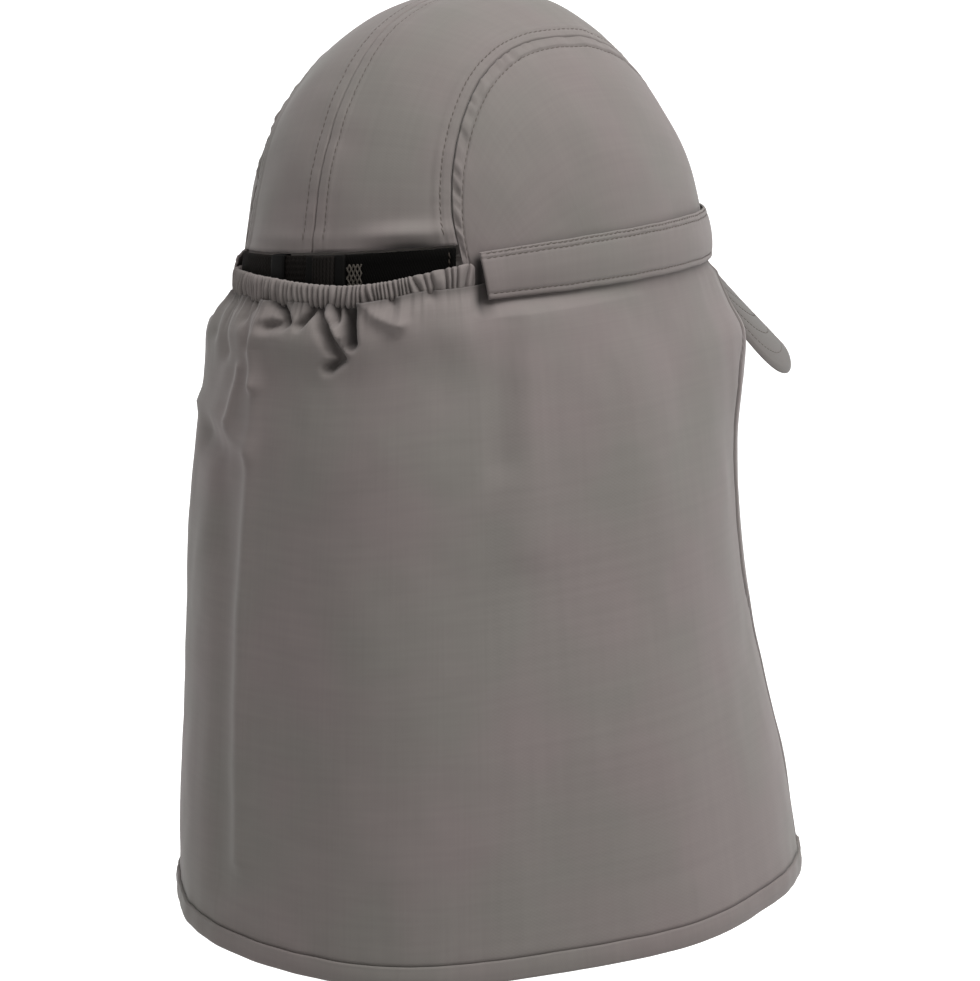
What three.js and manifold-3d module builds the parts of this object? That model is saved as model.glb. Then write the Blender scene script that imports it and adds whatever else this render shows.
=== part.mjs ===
import * as THREE from 'three';
import { mergeVertices } from 'three/addons/utils/BufferGeometryUtils.js';
import Module from 'manifold-3d';

const manifold = await Module();
manifold.setup();

// A sun cap with a neck flap, in millimetres, +Z up, the peak towards -Y.
// Angles are in degrees round the head from the centre back, positive to the wearer's left (+X).
// Heights are measured from the rim, the crown's lower edge, which climbs towards the front.

// Driving dimensions
const rimHalfWidth = 78;
const rimHalfLength = 97.5;
const rimRise = 0.125;
const crownHeight = 105;
const crownBulgeBack = 2.5;
const crownBulgeFront = 1.65;
const crownCloth = 1.2;
const panelPuff = 0.8;
const clearance = 0.3;
const backOpeningHeight = 18.5;
const backOpeningAngle = 38.5;
const seamClear = 0.2;

const bandHeight = 18.5;
const bandDrop = 1;
const bandThickness = 1.9;
const bandBackAngle = 42.3;
const bandFrontAngle = 142;
const bandEdgeShare = 0.75;

const strapWidth = 18.6;
const strapLow = -0.7;
const strapThickness = 1.5;
const strapSetback = 1.3;
const sliderThickness = 3;
const sliderRightAngle = -10.5;
const sliderLeftAngle = 1.5;
const sliderCrown = 0.9;
const sliderBarAngle = 3;
const sliderClearAngle = 0.2;
const keeperAngle = 11.5;
const keeperLength = 8;
const keeperWall = 0.9;
const cutOverrun = 2;
const cutOverrunAngle = 1;

const casingHeight = 8.2;
const casingEndHeight = 4;
const casingSag = 4.2;
const casingDepth = 3.2;
const casingEndDepth = 1.6;
const casingEndAngle = 41.5;
const pleatCount = 36;
const pleatDepth = 0.9;
const pleatLift = 0.4;
const pleatWander = 0.9;
const pleatWanderRate = 0.61;
const pleatFadeEdge = 0.02;
const pleatFadePower = 0.3;
const pleatLipShare = 0.2;
const pleatBellyShare = 0.5;
const casingLipShare = 0.5;
const casingInsetShare = 0.2;
const casingBlendAngle = 16;
const casingEndBlendAngle = 1;

const flapLength = 228;
const flapFlare = 26;
const flapCloth = 1;
const flapTuck = 5;
const flapFrontAngle = 139;
const gatherDepth = 0.9;
const gatherLength = 30;
const gatherFadeAngle = 6;
const sewnBlendAngle = 3;
const freeLength = 6;
const sideAngle = 92;
const hemHeight = 6;
const hemThickness = 1.8;
const hemEdgeShare = 0.7;

const peakLength = 67;
const peakHalfWidth = 63;
const peakRoundLength = 60;
const peakSlope = 0.5;
const peakDroop = 17;
const peakThickness = 3;
const peakEdgeShare = 0.6;
const peakRootAngle = 40;
const peakCornerAngle = 114;
const peakSeatDrop = 0.5;

// The side seams: how far along the crown's back to front arc, and how far out from the centre seam
const seamPath = [
  { along: 0, out: 0.64 },
  { along: 0.055, out: 0.616 },
  { along: 0.11, out: 0.57 },
  { along: 0.19, out: 0.528 },
  { along: 0.28, out: 0.51 },
  { along: 0.36, out: 0.53 },
  { along: 0.46, out: 0.585 },
  { along: 0.56, out: 0.6 },
  { along: 0.75, out: 0.56 },
  { along: 1, out: 0.52 },
];

// How far the flap stands out at each share of its length, as shares of flapFlare
const flareRows = [
  { down: 0, back: 0, side: 0, front: 0 },
  { down: 0.03, back: 0.08, side: 0, front: 0 },
  { down: 0.06, back: 0.28, side: 0.04, front: 0.08 },
  { down: 0.1, back: 0.4, side: 0.11, front: 0.26 },
  { down: 0.15, back: 0.5, side: 0.2, front: 0.54 },
  { down: 0.22, back: 0.59, side: 0.29, front: 0.53 },
  { down: 0.3, back: 0.66, side: 0.38, front: 0.42 },
  { down: 0.4, back: 0.73, side: 0.48, front: 0.4 },
  { down: 0.5, back: 0.8, side: 0.58, front: 0.46 },
  { down: 0.62, back: 0.86, side: 0.7, front: 0.61 },
  { down: 0.74, back: 0.9, side: 0.84, front: 0.87 },
  { down: 0.87, back: 0.93, side: 1, front: 1.16 },
  { down: 1, back: 0.93, side: 1.16, front: 1.36 },
];

// The hem's distance below the rim round the flap, as shares of flapLength
const hemRows = [
  { angle: -139, drop: 1 },
  { angle: -90, drop: 1 },
  { angle: -50, drop: 0.995 },
  { angle: -25, drop: 0.985 },
  { angle: 0, drop: 0.96 },
  { angle: 25, drop: 0.93 },
  { angle: 48, drop: 0.925 },
  { angle: 90, drop: 0.96 },
  { angle: 139, drop: 1 },
];

// The main folds of the flap: angle and its lean by the fold's end, start and end down the flap,
// half width in degrees, and rise as a share of flapFlare, positive for a ridge
const foldRows = [
  { angle: 11, lean: 4, start: -0.05, end: 0.7, width: 3.2, rise: 0.13 },
  { angle: 17, lean: 5, start: -0.06, end: 0.24, width: 2.4, rise: -0.12 },
  { angle: 6.5, lean: 2, start: -0.06, end: 0.26, width: 2.2, rise: -0.13 },
  { angle: 1.5, lean: -1, start: -0.06, end: 0.22, width: 2.2, rise: -0.11 },
  { angle: -4.5, lean: -4, start: -0.06, end: 0.3, width: 2.4, rise: 0.11 },
  { angle: -9, lean: 2, start: -0.06, end: 0.36, width: 2.2, rise: -0.14 },
  { angle: -14, lean: 1, start: -0.06, end: 0.32, width: 2.4, rise: -0.18 },
  { angle: -17, lean: -12, start: -0.06, end: 0.36, width: 3, rise: 0.15 },
  { angle: 38, lean: -22, start: 0.16, end: 0.7, width: 7, rise: -0.14 },
  { angle: -51, lean: 1, start: 0.04, end: 0.66, width: 8, rise: -0.12 },
  { angle: -80, lean: -6, start: 0.1, end: 1.3, width: 14, rise: 0.1 },
  { angle: 78, lean: 6, start: 0.1, end: 1.3, width: 14, rise: 0.1 },
  { angle: -22, lean: -4, start: 0.2, end: 1.4, width: 14, rise: 0.1 },
];

// Mesh density
const flapBackColumns = 40;
const flapSideColumns = 16;
const samplesPerPleat = 4;
const normalStep = 1e-3;
const mergeDistance = 1e-3;
const flapRows = [0, 0.028, 0.052, 0.08, 0.115, 0.155, 0.205, 0.28, 0.38, 0.5, 0.64, 0.81, 1];

const clothColour = 0x7b7672;
const webbingColour = 0x14120f;

const radians = THREE.MathUtils.degToRad;
const mix = THREE.MathUtils.lerp;
const ease = THREE.MathUtils.smoothstep;

// A smooth value from a table, through the rows' own values
function readTable(rows, key, column, at) {
  const last = rows.length - 1;
  const held = THREE.MathUtils.clamp(at, rows[0][key], rows[last][key]);
  let row = 0;
  while (row < last - 1 && rows[row + 1][key] < held) {
    row += 1;
  }
  const slopeAt = (index) => {
    const before = rows[Math.max(index - 1, 0)];
    const after = rows[Math.min(index + 1, last)];
    return (after[column] - before[column]) / (after[key] - before[key]);
  };
  const span = rows[row + 1][key] - rows[row][key];
  const t = (held - rows[row][key]) / span;
  const t2 = t * t;
  const t3 = t2 * t;
  return (2 * t3 - 3 * t2 + 1) * rows[row][column]
    + (t3 - 2 * t2 + t) * span * slopeAt(row)
    + (3 * t2 - 2 * t3) * rows[row + 1][column]
    + (t3 - t2) * span * slopeAt(row + 1);
}

function bulgeAt(angle) {
  return mix(crownBulgeFront, crownBulgeBack, (1 + Math.cos(radians(angle))) / 2);
}

// A point beside the crown's lower wall: out from its surface, at a height above the rim
function wallPoint(angle, height, out) {
  const bulge = bulgeAt(angle);
  const rise = Math.max(height, 0) / crownHeight;
  const share = (1 - rise ** bulge) ** (1 / bulge);
  const sine = Math.sin(radians(angle));
  const cosine = Math.cos(radians(angle));
  const normal = new THREE.Vector2(sine / rimHalfWidth, cosine / rimHalfLength).normalize();
  const x = rimHalfWidth * share * sine + out * normal.x;
  const y = rimHalfLength * share * cosine + out * normal.y;
  return new THREE.Vector3(x, y, height - rimRise * y);
}

// A point on the crown in a direction from the middle of the rim, inset from its outer surface
function crownPoint(direction, inset) {
  const unit = direction.clone().normalize();
  const flat = Math.hypot(unit.x, unit.y);
  const bulge = bulgeAt(THREE.MathUtils.radToDeg(Math.atan2(unit.x, unit.y)));
  const reach = (flat ** bulge + Math.max(unit.z, 0) ** bulge) ** (-1 / bulge);
  const x = (rimHalfWidth - inset) * unit.x * reach;
  const y = (rimHalfLength - inset) * unit.y * reach;
  const z = (crownHeight - inset) * Math.max(unit.z, 0) * reach;
  return new THREE.Vector3(x, y, z - rimRise * y);
}

// A direction on the arc that runs back to front, out from the centre seam
function arcDirection(arc, out) {
  const middle = Math.sqrt(1 - out * out);
  return new THREE.Vector3(out, middle * Math.cos(arc), middle * Math.sin(arc));
}

// One closed wall between an outer and an inner grid of points
function wallSolid(columns, rows, outerAt, innerAt) {
  const positions = [];
  const triangles = [];
  const layer = (columns + 1) * (rows + 1);
  for (const pointAt of [outerAt, innerAt]) {
    for (let i = 0; i <= columns; i += 1) {
      for (let j = 0; j <= rows; j += 1) {
        positions.push(...pointAt(i, j).toArray());
      }
    }
  }
  const index = (side, i, j) => side * layer + i * (rows + 1) + j;
  const quad = (a, b, c, d) => triangles.push(a, b, c, a, c, d);
  for (let i = 0; i < columns; i += 1) {
    for (let j = 0; j < rows; j += 1) {
      quad(index(0, i, j), index(0, i + 1, j), index(0, i + 1, j + 1), index(0, i, j + 1));
      quad(index(1, i, j), index(1, i, j + 1), index(1, i + 1, j + 1), index(1, i + 1, j));
    }
    quad(index(0, i, 0), index(1, i, 0), index(1, i + 1, 0), index(0, i + 1, 0));
    quad(index(0, i, rows), index(0, i + 1, rows), index(1, i + 1, rows), index(1, i, rows));
  }
  for (let j = 0; j < rows; j += 1) {
    quad(index(0, 0, j), index(0, 0, j + 1), index(1, 0, j + 1), index(1, 0, j));
    quad(index(0, columns, j), index(1, columns, j), index(1, columns, j + 1), index(0, columns, j + 1));
  }
  return closedGeometry(positions, triangles);
}

// Merges shared corners, drops triangles with no area and turns the faces outwards
function closedGeometry(positions, triangles) {
  const raw = new THREE.BufferGeometry();
  raw.setAttribute('position', new THREE.Float32BufferAttribute(positions, 3));
  raw.setIndex(triangles);
  const merged = mergeVertices(raw, mergeDistance);
  const corners = merged.getAttribute('position');
  const source = merged.getIndex().array;
  const kept = [];
  let volume = 0;
  const [a, b, c] = [new THREE.Vector3(), new THREE.Vector3(), new THREE.Vector3()];
  for (let k = 0; k < source.length; k += 3) {
    const [p, q, r] = [source[k], source[k + 1], source[k + 2]];
    if (p === q || q === r || r === p) {
      continue;
    }
    kept.push(p, q, r);
    a.fromBufferAttribute(corners, p);
    b.fromBufferAttribute(corners, q);
    c.fromBufferAttribute(corners, r);
    volume += a.dot(b.cross(c));
  }
  if (volume < 0) {
    for (let k = 0; k < kept.length; k += 3) {
      [kept[k + 1], kept[k + 2]] = [kept[k + 2], kept[k + 1]];
    }
  }
  merged.setIndex(kept);
  merged.computeVertexNormals();
  return merged;
}

const cap = new THREE.Group();
const cloth = () => new THREE.MeshStandardMaterial({ color: clothColour, roughness: 0.85, metalness: 0 });
const webbing = () => new THREE.MeshStandardMaterial({ color: webbingColour, roughness: 0.8, metalness: 0 });

function addPiece(name, geometry, material) {
  const piece = new THREE.Mesh(geometry, material);
  piece.name = name;
  cap.add(piece);
}

// Crown: two centre panels and two half-dome side panels, each slightly puffed between its seams
function puff(across, along) {
  return panelPuff * Math.sin(Math.PI * across) * Math.sin(Math.PI * along);
}

function seamOut(along) {
  return readTable(seamPath, 'along', 'out', along);
}

const seamHalf = clearance / 2 / rimHalfWidth;
const backEdgeRise = Math.asin(backOpeningHeight / crownHeight);
const panelColumns = 20;
const lowerColumns = 2;
const seamStart = backEdgeArc(seamOut(backEdgeRise / Math.PI)) / Math.PI;

// Where an arc that lies out from the centre seam rises past the back opening
function backEdgeArc(out) {
  return Math.asin(Math.sin(backEdgeRise) / Math.sqrt(1 - out * out));
}

function centrePanel(side) {
  const rows = 5;
  const at = (inset) => (i, j) => {
    const across = j / rows;
    const along = i / panelColumns;
    const seam = seamOut(mix(seamStart, 1, along)) - seamHalf;
    const out = mix(seamHalf, seam, across);
    const arc = mix(backEdgeArc(out), Math.PI, along);
    return crownPoint(arcDirection(arc, side * out), inset - puff(across, along));
  };
  return wallSolid(panelColumns, rows, at(0), at(crownCloth));
}

function sidePanel(side) {
  const columns = panelColumns + lowerColumns;
  const rows = 8;
  const frontAngle = 180 - THREE.MathUtils.radToDeg(Math.asin(seamOut(1) + seamHalf));
  const at = (inset) => (i, j) => {
    const lower = seamStart * (i / lowerColumns);
    const along = i < lowerColumns ? lower : mix(seamStart, 1, (i - lowerColumns) / panelColumns);
    const seam = arcDirection(along * Math.PI, seamOut(along) + seamHalf);
    const around = radians(mix(backOpeningAngle + seamClear, frontAngle, along));
    const rim = new THREE.Vector3(Math.sin(around), Math.cos(around), 0);
    const direction = seam.lerp(rim, j / rows);
    direction.x *= side;
    return crownPoint(direction, inset - puff(j / rows, along));
  };
  return wallSolid(columns, rows, at(0), at(crownCloth));
}

for (const [sideName, side] of [['left', 1], ['right', -1]]) {
  addPiece(`crown_centre_${sideName}`, centrePanel(side), cloth());
  addPiece(`crown_side_${sideName}`, sidePanel(side), cloth());
}

// Cover bands: folded strips over the flap's tucked edge
const flapSeat = clearance + flapCloth / 2;
const bandSeatLow = flapSeat + flapCloth / 2 + clearance;
const bandSeatHigh = clearance + panelPuff;

function coverBand(side) {
  const columns = 28;
  const rows = 4;
  const at = (lift) => (i, j) => {
    const angle = side * mix(bandBackAngle, bandFrontAngle, i / columns);
    const height = mix(bandHeight, -bandDrop, j / rows);
    const seat = mix(bandSeatLow, bandSeatHigh, ease(height, flapTuck, bandHeight));
    const roundEdge = j === 0 || j === rows ? bandEdgeShare : 1;
    return wallPoint(angle, height, seat + lift * roundEdge);
  };
  return wallSolid(columns, rows, at(bandThickness), at(0));
}

addPiece('band_left', coverBand(1), cloth());
addPiece('band_right', coverBand(-1), cloth());

// Adjusting strap across the back opening: tab, slider, keeper and ribbed webbing
const strapEndAngle = backOpeningAngle - strapSetback;
const strapHigh = strapLow + strapWidth;

function strapLength(startAngle, endAngle, columns) {
  const at = (out) => (i, j) => {
    const height = j === 0 ? strapHigh : strapLow;
    return wallPoint(mix(startAngle, endAngle, i / columns), height, out);
  };
  return wallSolid(columns, 1, at(strapThickness), at(0));
}

addPiece('strap_right', strapLength(-strapEndAngle, sliderRightAngle - sliderClearAngle, 10), webbing());
addPiece('strap_left', strapLength(sliderLeftAngle + sliderClearAngle, strapEndAngle, 12), webbing());

// The slider's plate is thickest at its middle bar, over which the webbing turns back
const sliderPeak = sliderThickness + sliderCrown;

function sliderPlate() {
  const columns = 8;
  const middle = (sliderRightAngle + sliderLeftAngle) / 2;
  const at = (thickness, crown) => (i, j) => {
    const angle = mix(sliderRightAngle, sliderLeftAngle, i / columns);
    const nearBar = Math.max(1 - Math.abs(angle - middle) / sliderBarAngle, 0);
    return wallPoint(angle, mix(strapHigh, strapLow, j / 2), thickness + crown * nearBar);
  };
  return wallSolid(columns, 2, at(sliderThickness, sliderCrown), at(0, 0));
}

addPiece('strap_slider', sliderPlate(), webbing());

// The keeper is a flat loop: its outer box less the slot that the webbing runs through
function toManifold(geometry) {
  const bare = new THREE.BufferGeometry();
  bare.setAttribute('position', geometry.getAttribute('position').clone());
  bare.setIndex(geometry.getIndex().clone());
  return new manifold.Manifold(new manifold.Mesh({
    numProp: 3,
    vertProperties: new Float32Array(bare.getAttribute('position').array),
    triVerts: new Uint32Array(bare.getIndex().array),
  }));
}

function fromManifold(solid) {
  const mesh = solid.getMesh();
  return closedGeometry(Array.from(mesh.vertProperties), Array.from(mesh.triVerts));
}

function keeperLoop() {
  const halfAngle = keeperLength / 2 / rimHalfLength;
  const reach = THREE.MathUtils.radToDeg(halfAngle);
  const block = (low, high, inner, outer, overhang) => {
    const at = (out) => (i, j) => wallPoint(
      mix(keeperAngle - reach - overhang, keeperAngle + reach + overhang, i / 2),
      j === 0 ? high : low,
      out,
    );
    return wallSolid(2, 1, at(outer), at(inner));
  };
  const outer = block(
    strapLow - clearance - keeperWall,
    strapHigh + clearance,
    -clearance - keeperWall,
    strapThickness + clearance + keeperWall,
    0,
  );
  const slot = block(
    strapLow - clearance,
    strapHigh + cutOverrun,
    -clearance,
    strapThickness + clearance,
    cutOverrunAngle,
  );
  return fromManifold(toManifold(outer).subtract(toManifold(slot)));
}

addPiece('strap_keeper', keeperLoop(), webbing());

// Elastic casing: a pleated tube that bows out over the slider and closes down on the crown at its ends
const sliderSpan = Math.max(Math.abs(sliderRightAngle), Math.abs(sliderLeftAngle));
const seatOverSlider = sliderPeak + clearance + pleatDepth;
const seatOverStrap = strapThickness + clearance + keeperWall + clearance;

function casingSeat(angle) {
  const away = Math.abs(angle);
  const onStrap = mix(seatOverSlider, seatOverStrap, ease(away, sliderSpan, sliderSpan + casingBlendAngle));
  return mix(onStrap, clearance, ease(away, strapEndAngle - casingEndBlendAngle, casingEndAngle));
}

function casingLow(angle) {
  const share = Math.min(Math.abs(angle) / casingEndAngle, 1);
  return casingEndHeight - casingSag * Math.cos((Math.PI / 2) * share);
}

function casingThickness(angle) {
  return mix(casingDepth, casingEndDepth, ease(Math.abs(angle), backOpeningAngle / 2, casingEndAngle));
}

function casingTube() {
  const columns = pleatCount * samplesPerPleat;
  const rows = 3;
  const at = (isOuter) => (i, j) => {
    const angle = mix(-casingEndAngle, casingEndAngle, i / columns);
    const belly = Math.sin((Math.PI * j) / rows);
    const phase = (2 * Math.PI * i) / samplesPerPleat + pleatWander * Math.sin(i * pleatWanderRate);
    const inside = THREE.MathUtils.clamp(i / columns, pleatFadeEdge, 1 - pleatFadeEdge);
    const fade = Math.sin(Math.PI * inside) ** pleatFadePower;
    const pleat = pleatDepth * fade * Math.sin(phase);
    const height = casingLow(angle) + casingHeight * (1 - j / rows) + pleatLift * pleat * (1 - (2 * j) / rows);
    const depth = casingThickness(angle);
    const pleatOut = mix(pleatLipShare, pleatBellyShare, belly) * pleat;
    const outer = mix(casingLipShare, 1, belly) * depth + pleatOut;
    const out = isOuter ? outer : mix(casingInsetShare, 0, belly) * depth;
    return wallPoint(angle, height, casingSeat(angle) + out);
  };
  return wallSolid(columns, rows, at(true), at(false));
}

addPiece('flap_casing', casingTube(), cloth());

// Neck flap: a hanging sheet, tucked under the bands at the sides and sewn to the casing at the back
const sewnGap = clearance + pleatLift * pleatDepth;

function flapTopHeight(angle) {
  const underBand = ease(Math.abs(angle), casingEndAngle, bandBackAngle + sewnBlendAngle);
  return mix(casingLow(angle) - sewnGap, flapTuck, underBand);
}

function flapTopOut(angle) {
  const sewn = casingSeat(angle) + casingThickness(angle) / 2;
  return mix(sewn, flapSeat, ease(Math.abs(angle), backOpeningAngle, casingEndAngle));
}

// Below the gathers the sheet forgets the step between the casing and the bands
function flapSeatAt(angle, down) {
  return mix(flapTopOut(angle), bandSeatLow, ease(down * flapLength, 0, gatherLength));
}

function flareAt(angle, down) {
  const away = Math.abs(angle);
  const back = readTable(flareRows, 'down', 'back', down);
  const side = readTable(flareRows, 'down', 'side', down);
  const front = readTable(flareRows, 'down', 'front', down);
  const sideways = ease(away, backOpeningAngle, sideAngle);
  const forwards = ease(away, sideAngle, flapFrontAngle);
  return flapFlare * mix(mix(back, side, sideways), front, forwards);
}

function foldRise(angle, down) {
  let rise = 0;
  for (const fold of foldRows) {
    const share = (down - fold.start) / (fold.end - fold.start);
    if (share > 0 && share < 1) {
      const offset = (angle - fold.angle - fold.lean * share) / fold.width;
      rise += fold.rise * Math.exp(-offset * offset) * Math.sin(Math.PI * share);
    }
  }
  return flapFlare * rise;
}

function gatherRipple(angle, down) {
  const inside = ease(casingEndAngle - Math.abs(angle), 0, gatherFadeAngle);
  const fade = inside * (1 - ease(down * flapLength, 0, gatherLength));
  return gatherDepth * fade * Math.sin((pleatCount * Math.PI * angle) / (2 * casingEndAngle));
}

// Below the bands' lower edge the sheet is free to stand out from the crown
function flapPoint(angle, down) {
  const top = flapTopHeight(angle);
  const drop = flapLength * readTable(hemRows, 'angle', 'drop', angle);
  const height = mix(top, -drop, down);
  const free = ease(-height, bandDrop, bandDrop + freeLength);
  const underBand = ease(Math.abs(angle), casingEndAngle - sewnBlendAngle, casingEndAngle);
  const loose = mix(1, free, underBand);
  const stand = (flareAt(angle, down) + foldRise(angle, down) + gatherRipple(angle, down)) * loose;
  return wallPoint(angle, height, flapSeatAt(angle, down * loose) + Math.max(stand, 0));
}

function sheetPoint(angle, down, lift) {
  const here = flapPoint(angle, down);
  const around = flapPoint(angle + 1, down).sub(flapPoint(angle - 1, down));
  const along = flapPoint(angle, down + normalStep).sub(flapPoint(angle, down - normalStep));
  const normal = along.cross(around).normalize();
  return here.addScaledVector(normal, lift);
}

const flapColumns = flapBackColumns + 2 * flapSideColumns;

function columnAngle(i) {
  const fromMiddle = i - flapColumns / 2;
  const back = flapBackColumns / 2;
  if (Math.abs(fromMiddle) <= back) {
    return (casingEndAngle * fromMiddle) / back;
  }
  const share = (Math.abs(fromMiddle) - back) / flapSideColumns;
  return Math.sign(fromMiddle) * mix(casingEndAngle, flapFrontAngle, share);
}

function neckFlap() {
  const at = (lift) => (i, j) => sheetPoint(columnAngle(i), flapRows[j], lift);
  return wallSolid(flapColumns, flapRows.length - 1, at(flapCloth / 2), at(-flapCloth / 2));
}

addPiece('neck_flap', neckFlap(), cloth());

// Bound hem: a thicker strip that carries on from the flap's lower edge
function hemBinding() {
  const start = 1 + clearance / flapLength;
  const end = start + hemHeight / flapLength;
  const at = (lift) => (i, j) => {
    const round = j === 1 ? 1 : hemEdgeShare;
    return sheetPoint(columnAngle(i), mix(start, end, j / 2), lift * round);
  };
  return wallSolid(flapColumns, 2, at(hemThickness / 2), at(-hemThickness / 2));
}

addPiece('hem_binding', hemBinding(), cloth());

// Peak: a plate whose lines run forwards and down from the rim, so the rim's curve arches it
function rimFront(x) {
  return -rimHalfLength * Math.sqrt(1 - (x / rimHalfWidth) ** 2);
}

function peakPoint(across, outward, lift) {
  const root = radians(across * peakRootAngle);
  const corner = radians(across * peakCornerAngle);
  const rootX = rimHalfWidth * Math.sin(root);
  const rootY = rimFront(rootX);
  const middle = -rimHalfLength - peakLength + peakRoundLength;
  const edgeX = peakHalfWidth * Math.sin(corner);
  const edgeY = middle - peakRoundLength * Math.cos(corner);
  const x = mix(rootX, edgeX, outward);
  const y = mix(rootY, edgeY, outward);
  const forwards = rimFront(x) - y;
  const droop = peakDroop * outward * Math.abs(x / peakHalfWidth) ** 3;
  const z = -rimRise * rimFront(x) - peakSeatDrop - peakSlope * forwards - droop;
  return new THREE.Vector3(x, y, z + lift);
}

function peakPlate() {
  const columns = 28;
  const rows = 6;
  const at = (lift) => (i, j) => {
    const thin = j === rows ? peakEdgeShare : 1;
    return peakPoint(mix(-1, 1, i / columns), j / rows, lift < 0 ? lift * thin : lift);
  };
  return wallSolid(columns, rows, at(0), at(-peakThickness));
}

addPiece('peak', peakPlate(), cloth());

export default cap;
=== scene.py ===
import math
import random

import bmesh
import bpy
from mathutils import Matrix, Vector, noise


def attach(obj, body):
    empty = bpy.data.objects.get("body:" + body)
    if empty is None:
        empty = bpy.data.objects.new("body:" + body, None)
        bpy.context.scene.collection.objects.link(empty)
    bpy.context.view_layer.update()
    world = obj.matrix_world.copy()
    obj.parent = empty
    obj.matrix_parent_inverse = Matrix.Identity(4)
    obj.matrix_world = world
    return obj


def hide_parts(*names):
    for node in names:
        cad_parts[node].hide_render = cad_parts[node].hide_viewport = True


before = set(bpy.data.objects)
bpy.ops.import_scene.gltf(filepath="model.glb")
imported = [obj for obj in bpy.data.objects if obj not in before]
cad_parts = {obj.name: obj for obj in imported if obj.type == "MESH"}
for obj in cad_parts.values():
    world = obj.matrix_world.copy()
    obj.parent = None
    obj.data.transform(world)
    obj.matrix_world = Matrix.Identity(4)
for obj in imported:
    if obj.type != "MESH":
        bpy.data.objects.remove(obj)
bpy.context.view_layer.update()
mm = 0.001
draw = random.Random(7)
print("frame loaded with", len(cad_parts), "nodes")

# Angles are degrees round the head from the centre back, positive to the wearer's left
# Lengths are millimetres until a mesh is written
crown = {
    "halfWidth": 78, "halfLength": 97.5, "height": 105, "rimRise": 0.125,
    "bulgeBack": 2.5, "bulgeFront": 1.65, "cloth": 1.2, "puff": 0.8,
    "openingHeight": 18.5, "openingAngle": 38.5, "wrinkle": 1.0, "wrinkleSize": 38, "arcLength": 265,
    # share of the back to front arc, and how far out the side seam runs there
    "sideSeam": [
        (0, .64), (.055, .616), (.11, .57), (.19, .528), (.28, .51),
        (.36, .53), (.46, .585), (.56, .6), (.75, .56), (1, .52),
    ],
}
seam = {
    "groove": 0.8, "grooveWidth": 0.34, "lift": 0.42, "allowance": 5.2, "allowanceEase": 1,
    "stitchDip": 0.34, "stitchDipWidth": 0.55, "pucker": 0.4, "puckerSize": 2.1, "puckerShare": 0.35,
    "puckerEnd": (4, 7), "centreAt": 4.3, "outerAt": 3.3, "innerAt": 6, "gather": 0.36, "gatherSize": 7,
    "gatherReach": 9, "gap": 0.004, "arcOverChord": 1.03,
    # the side seam's lower end behind is gathered more, up to these shares of the arc
    "lowPucker": 2.4, "lowEnd": (0.3, 0.42),
}
# The crown's lower edge behind: a bulge has its angle, its half width in degrees and how far out it stands
backEdge = {
    "bulges": [(-25, 9.5, 4.2), (8, 16, 0.9)], "bulgeUp": 4.6, "bulgeReach": 3.4,
    "lip": 0.45, "lipUp": 0.6, "lipReach": 0.9, "shadedTo": 0.3,
    # the painted shade under the bulge and in the pocket behind the casing's end
    "shade": 0.9, "shadeAngle": -26, "shadeWidth": 8, "shadeUp": 0.4, "shadeReach": 1.9,
    "pocketAngle": 42.8, "pocketWidth": 1.7, "pocketStart": (-2, 1), "pocketEnd": (12, 16),
}


def mix(a, b, t):
    return a + (b - a) * t


def clamp(x, low=0.0, high=1.0):
    return max(low, min(high, x))


def ease(x, low, high):
    t = clamp((x - low) / (high - low))
    return t * t * (3 - 2 * t)


def bump(x, middle, width):
    return math.exp(-((x - middle) / width) ** 2)


# How near a place along a row and down it lies to a line of places, in millimetres
def nearLine(point, line):
    nearest = math.inf
    for (startX, startY), (endX, endY) in zip(line, line[1:]):
        wayX, wayY = endX - startX, endY - startY
        fromX, fromY = point[0] - startX, point[1] - startY
        share = clamp((fromX * wayX + fromY * wayY) / (wayX * wayX + wayY * wayY))
        nearest = min(nearest, math.hypot(fromX - share * wayX, fromY - share * wayY))
    return nearest


# A smooth value from a table, through the rows' own values
def readTable(rows, column, at):
    last = len(rows) - 1
    held = clamp(at, rows[0][0], rows[last][0])
    row = 0
    while row < last - 1 and rows[row + 1][0] < held:
        row += 1

    def slope(index):
        before, after = rows[max(index - 1, 0)], rows[min(index + 1, last)]
        return (after[column] - before[column]) / (after[0] - before[0])

    span = rows[row + 1][0] - rows[row][0]
    t = (held - rows[row][0]) / span
    start = (2 * t ** 3 - 3 * t * t + 1) * rows[row][column] + (t ** 3 - 2 * t * t + t) * span * slope(row)
    end = (3 * t * t - 2 * t ** 3) * rows[row + 1][column] + (t ** 3 - t * t) * span * slope(row + 1)
    return start + end


def bulgeAt(cosine):
    return mix(crown["bulgeFront"], crown["bulgeBack"], (1 + cosine) / 2)


# A point beside the crown's wall, at a height above the tilted rim
def wallPoint(angle, height, out):
    sine, cosine = math.sin(math.radians(angle)), math.cos(math.radians(angle))
    bulge = bulgeAt(cosine)
    share = (1 - (max(height, 0) / crown["height"]) ** bulge) ** (1 / bulge)
    across, back = sine / crown["halfWidth"], cosine / crown["halfLength"]
    size = math.hypot(across, back)
    x = crown["halfWidth"] * share * sine + out * across / size
    y = crown["halfLength"] * share * cosine + out * back / size
    return Vector((x, y, height - crown["rimRise"] * y))


# A point on the crown in a direction from the middle of the rim, lifted off its surface
def crownPoint(direction, lift):
    unit = direction.normalized()
    flat = math.hypot(unit.x, unit.y)
    bulge = bulgeAt(unit.y / flat) if flat > 1e-6 else crown["bulgeBack"]
    reach = (flat ** bulge + max(unit.z, 0) ** bulge) ** (-1 / bulge)
    x = (crown["halfWidth"] + lift) * unit.x * reach
    y = (crown["halfLength"] + lift) * unit.y * reach
    z = (crown["height"] + lift) * max(unit.z, 0) * reach
    return Vector((x, y, z - crown["rimRise"] * y))
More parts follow.
